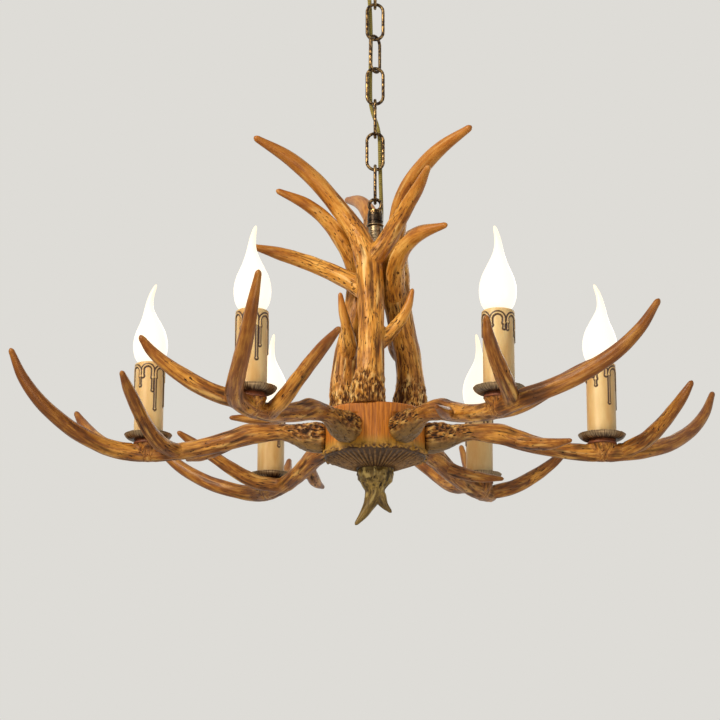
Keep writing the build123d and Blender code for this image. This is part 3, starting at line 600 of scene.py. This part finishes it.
# ==== antlers
def antler(name, prongs, voxel, seat, burr_reach, sideways=False, knobs=1.0):
    """One casting: prongs as round tubes, joined, smoothed, then grooved, lumped and
    knobbled at the burr, with its grain laid along each prong. A burr that lies sideways
    is olive below and has a painted shadow along its seat on the hub."""
    vertices, faces, middles = [], [], []
    for prong in prongs:
        rows = spline(prong, STATION_STEP)
        points = rows[:, :3] + (0, 0, dish_level)
        radii = rows[:, 3].copy()
        way = points[-1] - points[-2]
        way = way / np.linalg.norm(way) * radii[-1]
        points = np.vstack([points, points[-1] + way * 0.5, points[-1] + way * 0.85])
        radii = np.concatenate([radii, radii[-1:] * 0.85, radii[-1:] * 0.5])
        more, sheets = tube(points, radii, TINE_SIDES)
        start = sum(len(v) for v in vertices)
        faces += [[start + corner for corner in face] for face in sheets]
        vertices.append(more)
        middles.append((points, radii))
    work = placed("work", mesh_of(name, np.vstack(vertices), faces))
    remesh = work.modifiers.new("one_skin", "REMESH")
    remesh.mode = "VOXEL"
    remesh.voxel_size = voxel * MM
    softened = work.modifiers.new("fillets", "SMOOTH")
    softened.factor = 0.5
    softened.iterations = 10
    mesh = final_mesh(work, name)
    at = read(mesh)

    # nearest station of any prong, and the straightened-out place beside it
    lot = 4000                   # vertices looked at together, to spare memory
    best, second = np.full((2, len(at)), 1e9)
    grain = np.zeros_like(at)
    tips, thick, along_beam = np.zeros((3, len(at)))
    for number, (points, radii) in enumerate(middles):
        ways, across, other = frames(points)
        run = walked(points)
        slope = np.gradient(radii, run)
        for start in range(0, len(at), lot):
            part = slice(start, start + lot)
            away = at[part, None] - points[None]
            distance = np.linalg.norm(away, axis=2) - radii
            near = distance.argmin(axis=1)
            rows = np.arange(len(near))
            gap = distance[rows, near]
            off = away[rows, near]
            ahead = (off * ways[near]).sum(1)
            beside = np.sqrt(np.maximum((off ** 2).sum(1) - ahead ** 2, 0))
            gap = np.where(abs(ahead) < 1.8, beside - radii[near] - slope[near] * ahead, gap)
            place = np.stack([run[near] + ahead, (off * across[near]).sum(1),
                              (off * other[near]).sum(1)], 1)
            better = gap < best[part]
            second[part] = np.where(better, best[part], np.minimum(second[part], gap))
            target = np.arange(len(at))[part][better]
            best[target] = gap[better]
            grain[target] = place[better] + (number * 57.0, 0, 0)
            tips[target] = smoothstep(0.45, 1.0, (run[near] / run[-1]))[better]
            thick[target] = radii[near][better]
            along_beam[target] = run[near][better] if number == 0 else 1e3
    burr = 1 - smoothstep(burr_reach * 0.3, burr_reach, along_beam)
    normal = read(mesh, "normal")
    under = burr * smoothstep(0.0, -0.75, normal[:, 2]) * sideways
    burr *= 1 - 0.75 * under
    seam = second - best
    crotch = smoothstep(13, 2, seam)
    # away from the crotches, the skin goes back on its round tines: no voxel steps
    settle = np.clip(best, -1.5, 1.5) * smoothstep(3, 9, seam)
    at = at - normal * settle[:, None]
    even = smoothstep(0.0, 3.0, seam)

    # relief: long grooves, soft lumps, folds in the crotches, knobs and deep pits
    # round the burr; all fade towards the smooth tips
    body = (1 - tips) * smoothstep(1.5, 6.0, thick)
    groove = (grained(grain, (46, 3.6, 3.6), 7.3)
              + 0.5 * (1 - tips) * grained(grain, (22, 2.4, 2.4), 2.1))
    fold = grained(grain, (26, 4.2, 4.2), 11.0)
    lump = grained(grain, (17, 11, 11), 4.4)
    knob = cells(grain, (6.2, 5.0, 5.0), 1.7)
    burr *= knobs
    hollow = smoothstep(0.55, 0.2, knob) * burr
    ragged = grained(grain, (3.6, 2.8, 2.8), 8.8) * burr
    relief = even * (0.55 * groove * (0.12 + body) + 0.6 * lump * body + 0.9 * fold * crotch * body
                     + 1.7 * burr * (knob - 0.45) + 0.9 * ragged - 1.0 * hollow)
    at = at + normal * relief[:, None]
    at = seat(at)
    dark = np.clip(smoothstep(0.22, 0.72, -groove) * (0.25 + 0.55 * body)
                   + smoothstep(0.1, 0.45, -fold) * crotch * 0.7
                   + 0.85 * hollow + 0.6 * smoothstep(0.1, 0.5, -ragged), 0, 1)
    # painted highlight on the crests of the groove noise and on the tops of the burr's knobs
    ridge = 0.75 * np.clip(smoothstep(0.3, 0.85, groove) + burr * smoothstep(0.55, 0.8, knob), 0, 1)
    # painted shadow along the seam where a sideways burr meets the hub
    painted_seam_shadow = sideways * smoothstep(SEAT_U + 2.0, SEAT_U + 0.5, at[:, 0])
    dark = np.maximum(dark * (0.3 + 0.7 * even) * (1 - 0.6 * under), 0.85 * painted_seam_shadow)
    write(mesh, at, grain=grain * MM, tip=tips, burr=burr, under=under * 0.8,
          ridge=ridge * (1 - 0.6 * tips), groove=dark)
    return mesh


def seat_arm(at):
    """Round the burr's end, and cut it flat on the hub's seat and under the dish."""
    pull = 1 - 0.2 * np.clip((SEAT_U + 4.5 - at[:, 0]) / 4.5, 0, 1) ** 2
    at[:, 1] *= pull
    at[:, 2] = dish_level + (at[:, 2] - dish_level) * pull
    at[:, 0] = np.maximum(at[:, 0], SEAT_U)
    high = at[:, 2] - dish_level
    over = ((np.hypot(at[:, 0] - CANDLE_U, at[:, 1]) < SPOT_FACE_R)
            & (high > BOSS_TOP) & (high < BOSS_TOP + SPOT_FACE_H))
    at[over, 2] = dish_level + BOSS_TOP
    return at


def seat_upright(at):
    """Cut it flat on the hub's roof."""
    at[:, 2] = np.maximum(at[:, 2], dish_level + hub_top)
    return at


def seat_finial(at):
    """Cut it flat under the fluted dish."""
    at[:, 2] = np.minimum(at[:, 2], dish_level + neck_bottom)
    return at


def antlers():
    """Six arms and three uprights, each a copy of one casting, and the finial."""
    voxel = 1.1
    arm = antler("arm", (ARM_BEAM, ARM_FORK, ARM_INNER, ARM_SPUR, ARM_BOSS), voxel, seat_arm,
                 burr_reach=62.0, sideways=True)
    for number in range(ARMS):
        name = f"arm_casting_{number + 1}"
        piece(name, copied(arm, name, turned(number * 360 / ARMS)), "fixture", SHADED_ARM_FINISH,
              f"antler_arm_{number + 1}")
    upright = antler("upright", (UPRIGHT_BEAM, UPRIGHT_FORK, UPRIGHT_LOWER, UPRIGHT_SPUR), voxel,
                     seat_upright, burr_reach=46.0)
    for number, (angle, own_turn) in enumerate(UPRIGHTS, 1):
        name = f"crown_casting_{number}"
        place = moved(*polar(angle, UPRIGHT_U), 0) @ turned(angle + own_turn)
        piece(name, copied(upright, name, place), "fixture", LIT_CROWN_FINISH,
              f"upright_antler_{number}")
    finial = antler("finial", (FINIAL_STEM, FINIAL_FORK), voxel * 0.6, seat_finial,
                    burr_reach=22.0, knobs=0.5)
    piece("finial_casting", finial, "fixture", FINIAL_FINISH, "finial_antler")


# ==== turned pieces
def lathe(name, profile, sides):
    """Mesh turned about Z from a closed row of (radius, height) points in millimetres."""
    turn = np.arange(sides) * 2 * pi / sides
    ring = np.stack([np.cos(turn), np.sin(turn)], 1)
    vertices = np.concatenate([np.column_stack([r * ring, np.full(sides, z)])
                               for r, z in np.array(profile, float)])
    return mesh_of(name, vertices, sheet(len(profile), sides, len(profile)))


def curved(corners, step):
    """Profile points every step along a smooth curve through (radius, height) corners."""
    return [(row[0], row[2]) for row in spline([(r, 0, z) for r, z in corners], step)]


def dense(corners, step):
    """Points along straight runs between profile corners, every step or less."""
    rows = []
    for a, b in zip(corners, corners[1:]):
        count = max(1, int(np.hypot(b[0] - a[0], b[1] - a[1]) / step))
        rows += [(a[0] + (b[0] - a[0]) * i / count, a[1] + (b[1] - a[1]) * i / count)
                 for i in range(count)]
    return rows + [corners[-1]]


def around(at):
    """Angle round the Z axis, the unit way out there, and the radius of each point."""
    turn = np.arctan2(at[:, 1], at[:, 0])
    return turn, np.column_stack([np.cos(turn), np.sin(turn)]), np.hypot(at[:, 0], at[:, 1])


def hub():
    """Drum cast from a turned block: upright grain, waisted, flats under the burrs and
    a torn, bark-like lower rim."""
    waist = curved(((HUB_R, hub_top - 1.5), (50.8, 0), (HUB_R, -14), (54.4, hub_bottom)), 0.8)
    ceiling = hub_top - ROOF_T
    roof = dense([(ROD_HOLE_R, ceiling), (ROD_HOLE_R, hub_top), (50.5, hub_top),
                  (HUB_R, hub_top - 1.5)], 1.5)
    inside = dense([(52.6, hub_bottom - 0.6), (50.0, hub_bottom), (HUB_INSIDE_R, hub_bottom),
                    (HUB_INSIDE_R, ceiling), (ROD_HOLE_R, ceiling)], 3.0)[:-1]
    mesh = lathe("hub", roof + waist[1:] + inside, 420)
    at = read(mesh)
    turn, way, radius = around(at)
    skin = smoothstep(49.8, 50.4, radius)
    # the rim's lowest 6 mm is torn: it bulges, notches and hangs unevenly
    torn = smoothstep(hub_bottom + 6, hub_bottom + 1, at[:, 2]) * skin
    ring = np.column_stack([way * HUB_R, at[:, 2]])
    bark = grained(ring, (1.5, 1.5, 30), 3.0) * 0.45 + grained(ring, (4.0, 4.0, 60), 9.0) * 0.55
    lap = np.column_stack([way * HUB_R, 0 * turn])
    teeth = grained(lap, (3.6, 3.6, 1), 5.0) + 0.8 * grained(lap, (1.7, 1.7, 1), 8.0)
    lumps = grained(ring, (2.4, 2.4, 1.9), 6.0) + 0.5 * grained(ring, (1.4, 1.4, 1.3), 2.0)
    out = skin * bark * (1 - torn) + torn * (1.2 + 2.0 * lumps)
    rim = smoothstep(-6, hub_bottom + 4, at[:, 2]) * skin
    at[:, :2] += way * out[:, None]
    at[:, 2] -= torn * (0.3 + 1.9 * teeth)
    at[:, 2] += dish_level
    for number in range(ARMS):
        x, y = polar(number * 360 / ARMS, 1.0)
        u = at[:, 0] * x + at[:, 1] * y
        v = -at[:, 0] * y + at[:, 1] * x
        flat = (u > SEAT_U) & (abs(v) < SEAT_W / 2 - 1) & (at[:, 2] < dish_level + SEAT_TOP)
        at[flat, :2] -= ((u - SEAT_U)[:, None] * (x, y))[flat]
    dark = np.clip(torn * smoothstep(0.25, -0.3, lumps) + 0.5 * smoothstep(-0.25, -0.5, bark), 0, 1)
    write(mesh, at, rim=rim * 0.75, groove=dark)
    piece("hub_casting", mesh, "fixture", HUB_FINISH, "hub_body")


def node_group(name, numbers, **kinds):
    """A geometry node group with a finish, numbers and other inputs: its tree and their
    sockets."""
    tree = bpy.data.node_groups.new(name, "GeometryNodeTree")
    for label, kind in {**dict.fromkeys(numbers, "Float"), **kinds, "Finish": "Material"}.items():
        tree.interface.new_socket(label, in_out="INPUT", socket_type=f"NodeSocket{kind}")
    tree.interface.new_socket("Geometry", in_out="OUTPUT", socket_type="NodeSocketGeometry")
    return tree, add(tree, "NodeGroupInput").outputs


def put_out(tree, geometry, finish):
    """A group's output: its geometry made real, in its finish."""
    real = first(tree, "GeometryNodeRealizeInstances", {"Geometry": geometry})
    painted = first(tree, "GeometryNodeSetMaterial", {"Geometry": real, "Material": finish})
    add(tree, "NodeGroupOutput", {"Geometry": painted})
    return tree


def ribbed_tree():
    """Geometry nodes: a ring of carved ribs lying down a shallow cone, with uneven
    widths and heights."""
    tree, given = node_group("carved_ribs", ("Radius", "Height", "Slope", "Length", "Width"),
                             Count="Int")
    ring = first(tree, "GeometryNodeMeshCircle", {"Vertices": given["Count"],
                                                  "Radius": given["Radius"]})
    lifted = first(tree, "GeometryNodeTransform", {"Geometry": ring,
                                                   "Translation": vector(tree, Z=given["Height"])})
    place = first(tree, "GeometryNodeInputPosition")
    parts = add(tree, "ShaderNodeSeparateXYZ", {0: place}).outputs
    facing = vector(tree, Y=given["Slope"], Z=maths(tree, "ARCTAN2", parts["Y"], parts["X"]))
    rib = first(tree, "GeometryNodeMeshUVSphere", {"Segments": 8, "Rings": 8, "Radius": 0.5})
    wide = add(tree, "FunctionNodeRandomValue", {2: 0.7, 3: 1.35, "Seed": 4}, data_type="FLOAT")
    tall = add(tree, "FunctionNodeRandomValue", {2: 0.7, 3: 1.2, "Seed": 9}, data_type="FLOAT")
    size = vector(tree, X=given["Length"],
                  Y=maths(tree, "MULTIPLY", given["Width"], wide.outputs[1]),
                  Z=maths(tree, "MULTIPLY", given["Width"], tall.outputs[1]))
    laid = first(tree, "GeometryNodeInstanceOnPoints", {
        "Points": lifted, "Instance": rib, "Rotation": facing, "Scale": size})
    return put_out(tree, laid, given["Finish"])


def link_tree():
    """Geometry nodes: one welded chain link in its own upright plane."""
    tree, given = node_group("welded_link", ("Length", "Width", "Wire", "Turn", "Middle"))
    high = maths(tree, "SUBTRACT", given["Length"], given["Wire"])
    wide = maths(tree, "SUBTRACT", given["Width"], given["Wire"])
    # just under half the width, so that the fillets don't meet in a point
    bend = maths(tree, "MULTIPLY", wide, 0.499)
    outline = first(tree, "GeometryNodeCurvePrimitiveQuadrilateral",
                    {"Width": wide, "Height": high})
    round_ends = first(tree, "GeometryNodeFilletCurve",
                       {"Curve": outline, "Radius": bend, "Count": 10}, mode="POLY")
    section = first(tree, "GeometryNodeCurvePrimitiveCircle", {
        "Resolution": 16, "Radius": maths(tree, "MULTIPLY", given["Wire"], 0.5)}, mode="RADIUS")
    wire = first(tree, "GeometryNodeCurveToMesh", {"Curve": round_ends, "Profile Curve": section})
    hung = first(tree, "GeometryNodeTransform", {
        "Geometry": wire, "Translation": vector(tree, Z=given["Middle"]),
        "Rotation": vector(tree, X=pi / 2, Z=given["Turn"])})
    return put_out(tree, hung, given["Finish"])


def grown(tree, name, **inputs):
    """Plain mesh that a geometry node tree makes from its named inputs."""
    work = placed("work", bpy.data.meshes.new(name))
    modifier = work.modifiers.new("grown", "NODES")
    modifier.node_group = tree
    for item in tree.interface.items_tree:
        if item.in_out == "INPUT":
            modifier[item.identifier] = inputs[item.name]
    return final_mesh(work, name)


def fluted_dish():
    """Shallow cone under the hub, covered in radial ribs."""
    lip = hub_bottom - 1.5
    profile = ([(4.2, neck_bottom), (NECK_R - 1, neck_bottom)]
               + dense([(NECK_R, neck_bottom + 0.8), (FLUTED_R, lip)], 2.0)
               + [(FLUTED_R, hub_bottom), (HUB_INSIDE_R, hub_bottom - 0.2),
                  (NECK_R, neck_bottom + 3), (4.2, neck_bottom + 3)])
    cone = lathe("fluted_cone", profile, 144)
    at = read(cone)
    at[:, 2] += dish_level
    write(cone, at)
    piece("fluted_cone", cone, "fixture", FLUTED_FINISH, "fluted_dish")
    slope = np.arctan2(lip - neck_bottom, FLUTED_R - NECK_R)
    ribs = grown(ribbed_tree(), "fluted_ribs", Count=RIBS, Radius=(FLUTED_R + NECK_R) / 2 * MM,
                 Height=(dish_level + (lip + neck_bottom) / 2) * MM, Slope=-float(slope),
                 Length=(FLUTED_R - NECK_R) * 1.04 * MM, Width=2.6 * MM, Finish=RIB_FINISH)
    piece("fluted_ribs", ribs, "fixture", RIB_FINISH)


def link_middle(number):
    """Height of the middle of a chain link of the solids, in metres."""
    low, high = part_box(f"chain_link_{number}")
    return (low[2] + high[2]) / 2


def chain():
    tree = link_tree()
    for number, turn in enumerate(LINK_TURNS, 1):
        mesh = grown(tree, f"link_{number}", Length=LINK_LENGTH * MM, Width=LINK_WIDTH * MM,
                     Wire=LINK_WIRE * MM, Turn=radians(turn), Middle=link_middle(number),
                     Finish=BRONZE)
        piece(f"welded_link_{number}", mesh, f"link_{number}", BRONZE,
              f"chain_link_{number}")


def stem_trim():
    """Bright ring round the coupling's lower end and fine beads down the cover tube."""
    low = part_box("loop_coupling")[0][2] / MM
    ring = [(8.1 + 0.9 * cos(a), low + 0.9 + 0.9 * sin(a)) for a in np.linspace(0, 2 * pi, 10)[:-1]]
    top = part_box("central_tube")[1][2] / MM
    # the top 60 mm of the tube, a bead every 2.6 mm, with a plain back inside the tube's skin
    rows = [(6.7 + 0.16 * cos((top - z) * 2 * pi / 2.6), z)
            for z in np.arange(top - 0.3, top - 60, -0.45)]
    rows += [(6.45, rows[-1][1]), (6.45, rows[0][1])]
    for name, profile in (("coupling_ring", ring), ("tube_beads", rows)):
        piece(name, lathe(name, profile, 48), "fixture", BRUSHED_BRONZE)


# ==== candle lights
def wax_sleeve(name, seed):
    """Candle tube with a cap of wax that runs down in hollow arches and long drips,
    each drip a broad part, then a thin one, with a bead at both ends."""
    radius, top, low = SLEEVE_R, SLEEVE_TOP, SLEEVE_FOOT
    mouth, shoulder = 12.6, 1.9
    draw = np.random.default_rng(seed)
    edge = top - shoulder
    rows = [(radius, z) for z in np.linspace(low, edge - 50, 16)[:-1]]
    rows += [(radius, z) for z in np.linspace(edge - 50, edge, 92)]
    rows += [(radius - shoulder + shoulder * cos(a), edge + shoulder * sin(a))
             for a in np.linspace(0.3, pi / 2, 5)]
    rows += [(mouth, top), (mouth, top - 1.6), (mouth + 0.5, top - 1.7), (mouth + 0.5, low)]
    mesh = lathe(name, rows, 240)
    at = read(mesh)
    turn, way, out = around(at)
    turn = turn % (2 * pi)
    high = at[:, 2]
    outside = out > mouth + 0.8
    arches = 6
    starts = (np.arange(arches) + draw.uniform(-0.13, 0.13, arches)) * 2 * pi / arches
    cap = np.full(len(at), 0.8)
    band = np.full(len(at), 9.0)          # distance to the nearest run of wax's edge
    for start, end in zip(starts, np.append(starts[1:], starts[0] + 2 * pi)):
        half = (end - start) / 2 * radius - draw.uniform(1.2, 1.9)
        spring = top - draw.uniform(3.6, 6.0) - half
        x = ((turn - (start + end) / 2 + pi) % (2 * pi) - pi) * radius
        ring = np.hypot(x, np.maximum(high - spring, 0))
        cap = np.where((ring < half) | ((high < spring) & (abs(x) < half)), 0, cap)
        band = np.minimum(band, np.where(high > spring, abs(ring - half), 9.0) - 1.15)
        for side in (-1, 1):
            broad_end = min(spring - 1, top - draw.uniform(13, 20))
            thin_end = broad_end - draw.choice((0, 6, 12, 20, 28)) * draw.uniform(0.8, 1.2)
            leg = abs(x - side * half)
            for head, foot, width in ((spring, broad_end, 1.25), (broad_end, thin_end, 0.75)):
                gap = np.hypot(leg, np.maximum(foot - high, 0) + np.maximum(high - head, 0))
                band = np.minimum(band, gap - width)
                band = np.minimum(band, np.hypot(leg, high - foot) - width - 0.45)
    cap *= smoothstep(top - 15, top - 9, high)
    raised = np.maximum(1.15 * smoothstep(0.35, -0.9, band), cap)
    at[:, :2] += way * (raised * outside)[:, None]
    outline = smoothstep(1.15, 0.5, abs(band - 0.3)) * smoothstep(top - 1.0, top - 3.5, high)
    # darker towards the sleeve's lower end, where it stands in the saucer
    darker_foot = 0.6 * smoothstep(low + 4, low, high)
    write(mesh, at, stain=np.clip(outline + darker_foot, 0, 1) * outside)
    return mesh


def drip_dish():
    """Spun saucer with a rolled, slightly hammered rim."""
    under = curved(((5.2, -3.5), (16.5, -3.4), (20.8, -2.2), (23.3, 0.2), (24.0, 2.0)), 1.2)
    rolled = [(24.3 - 0.75 + 0.75 * cos(a), 2.0 + 0.75 * sin(a))
              for a in np.linspace(-0.2, pi + 0.3, 7)]
    back = curved(((22.6, 1.6), (21.6, -0.2), (19.4, -1.3), (16.0, -1.9), (5.2, -2.0)), 1.2)
    mesh = lathe("saucer", under + rolled + back, 120)
    at = read(mesh)
    turn, way, radius = around(at)
    hammered = grained(np.column_stack([24 * way, 0 * turn]), 3.2, 1.0)
    at[:, 2] += 0.45 * smoothstep(21, 24, radius) * hammered
    write(mesh, at, brush=np.column_stack([abs(turn) * 20, radius, 0 * turn]) * MM)
    return mesh


def bulb():
    """Frosted flame with a bent tip; the attribute thin grows from 0 to 1 towards it."""
    rows = spline([(offset, 0, height, r) for offset, height, r in FLAME], 1.6)
    points = rows[:, :3] + (0, 0, GLASS_BOTTOM)
    points = np.vstack([points, points[-1] + (-0.3, 0, 0.5)])
    vertices, faces = tube(points, np.append(rows[:, 3], 0.35), 48)
    mesh = mesh_of("flame", vertices, faces)
    write(mesh, vertices, thin=smoothstep(GLASS_BOTTOM + 45, GLASS_BOTTOM + 86, vertices[:, 2]))
    return mesh


def screw_cap():
    """Small screw cap: a rolled thread and a contact."""
    pitch, turns, steps, top = 2.82, 5, 6, GLASS_BOTTOM
    rows = [(0.4, top + 0.8), (7.9, top + 0.8), (7.9, top - 0.6), (6.6, top - 1.6)]
    rows += [(6.3 + 0.4 * cos(i * 2 * pi / steps), top - 1.8 - i * pitch / steps)
             for i in range(turns * steps)]
    rows += [(5.2, top - 17.6), (3.0, top - 18.2), (3.0, top - 20.8), (0.4, top - 21.0)]
    return lathe("screw_cap", rows, 40)


def candle_lights():
    """On each arm a sleeve on a saucer with its foot, and a bulb with its screw cap."""
    foot = lathe("foot", [(5.2, -3.5), (5.2, -8.5), (13.8, -8.5), (14.9, -7.6), (14.7, -6.2),
                          (13.6, -5.0), (14.0, -3.6)], 72)
    shared = (("saucer", drip_dish(), "fixture", DISH_BRONZE, "dish_bronze", "drip_dish"),
              ("saucer_foot", foot, "fixture", COLLAR_FINISH, "dish_bronze", None),
              ("flame_glass", bulb(), "bulb", GLASS, "bulb_glass", "bulb"),
              ("screw_cap", screw_cap(), "bulb", NICKEL, "zinc_steel", None))
    for number in range(ARMS):
        label = number + 1
        place = turned(number * 360 / ARMS) @ moved(CANDLE_U, 0, dish_level)
        sleeve = wax_sleeve("sleeve", 20 + number)
        own = ("wax_sleeve", sleeve, "fixture", WAX, "candle_resin", "candle_sleeve")
        for kind, mesh, body, finish, slot, node in (own,) + shared:
            piece(f"{kind}_{label}", copied(mesh, f"{kind}_{label}", place),
                  f"bulb_{label}" if body == "bulb" else body, finish,
                  node and f"{node}_{label}")


# ==== supply cord
def supply_cord():
    """One smooth line through the chain, cut at the middle of each link, so that each
    length crosses one hinge of the chain."""
    curve = bpy.data.curves.new("cord_line", "CURVE")
    curve.dimensions = "3D"
    line = curve.splines.new("NURBS")
    line.points.add(len(CORD_ROUTE) - 1)
    for point, (x, y, height) in zip(line.points, CORD_ROUTE):
        point.co = (x * MM, y * MM, (dish_level + height) * MM, 1.0)
    line.order_u = 3
    line.use_endpoint_u = True
    curve.resolution_u = 10
    middle = read(final_mesh(placed("cord_line", curve), "cord_line"))
    run = walked(middle)
    even = np.append(np.arange(0, run[-1], 1.5), run[-1])
    middle = np.column_stack([np.interp(even, run, middle[:, i]) for i in range(3)])
    _, across, other = frames(middle)
    links = len(LINK_TURNS)
    cuts = [1e3] + [link_middle(n) / MM for n in range(1, links + 1)] + [-1e4]
    sides = 16
    turn = np.arange(sides) * 2 * pi / sides
    for number in range(links + 1):
        inside = np.where((middle[:, 2] <= cuts[number]) & (middle[:, 2] >= cuts[number + 1]))[0]
        # one more point at each cut, so that neighbouring lengths meet
        inside = np.arange(max(inside[0] - 1, 0), inside[-1] + 1)
        points = middle[inside]
        count = len(points)
        vertices, faces = tube(points, np.full(count, CORD_D / 2), sides,
                               (across[inside], other[inside]))
        mesh = mesh_of(f"cord_{number + 1}", vertices, faces)
        braid = np.column_stack([np.repeat(even[inside] * 2 * pi / 4.4, sides),
                                 np.tile(turn, count), np.zeros(count * sides)])
        write(mesh, vertices, braid=braid)
        shown = piece(f"cord_length_{number + 1}", mesh, None, BRAID,
                      f"supply_cord_{number + 1}")
        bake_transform(shown)


# ==== carried-over pieces
def carried_over():
    """Finishes of the pieces that stay as the construction model has them."""
    for finish, names in (
            (BRONZE, ("canopy_shell", "collar_ring", "canopy_loop", "top_loop")),
            (BLACK_BRONZE, ("loop_coupling",)),
            (BRUSHED_BRONZE, ("central_tube",)),
            (ZINC, ("crossbar", "canopy_nipple", "nipple_nuts", "tie_rod", "rod_nuts", "arm_bolts",
                    "upright_screws", "holder_stems")),
            (PHENOLIC, ("lampholders",))):
        for name in names:
            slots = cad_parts[name].material_slots
            for slot in slots:
                slot.material = finish
            if not len(slots):
                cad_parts[name].data.materials.append(finish)


# ==== camera and light
def camera():
    """The photograph's view: long lens, from below the candles, axis right of centre."""
    made = bpy.data.cameras.new("view")
    made.lens = LENS
    made.sensor_width = 36.0
    made.shift_x = LENS_SHIFT
    shown = placed("view", made)
    shown.location = (0, -CAMERA_BACK, (dish_level - CAMERA_LOW) * MM)
    shown.rotation_euler = (radians(90 + CAMERA_TILT), 0, 0)
    bpy.context.scene.camera = shown


def lamp(name, place, size, watts, colour):
    """Square soft light aimed at the middle of the chandelier."""
    made = bpy.data.lights.new(name, "AREA")
    made.size = size
    made.energy = watts
    made.color = linear(colour)[:3]
    shown = placed(name, made)
    shown.location = place
    aim = Vector((0, 0, -0.5)) - Vector(place)
    shown.rotation_euler = aim.to_track_quat("-Z", "Y").to_euler()


def studio():
    """Pale floor well below, an even pale room behind, and soft lights."""
    mesh = bpy.data.meshes.new("floor")
    corners = [(x * FLOOR_REACH, y * FLOOR_REACH, FLOOR)
               for x, y in ((-1, -1), (1, -1), (1, 1), (-1, 1))]
    mesh.from_pydata(corners, [], [(0, 1, 2, 3)])
    mesh.materials.append(floor_paper())
    placed("floor", mesh)
    for row in LAMPS:
        lamp(*row)
    world = bpy.data.worlds.new("room")
    bpy.context.scene.world = world
    world.use_nodes = True
    tree = world.node_tree
    tree.nodes.clear()
    soft, bright = (first(tree, "ShaderNodeBackground", {"Color": linear(code), "Strength": share})
                    for code, share in ((ROOM_LIGHT, 0.28), (ROOM, 1.0)))
    both = first(tree, "ShaderNodeMixShader", {0: seen_rays(tree), 1: soft, 2: bright})
    add(tree, "ShaderNodeOutputWorld", {"Surface": both})
    bpy.context.scene.view_settings.view_transform = "Standard"


camera()
supply_cord()
antlers()
hub()
fluted_dish()
chain()
stem_trim()
candle_lights()
carried_over()
studio()
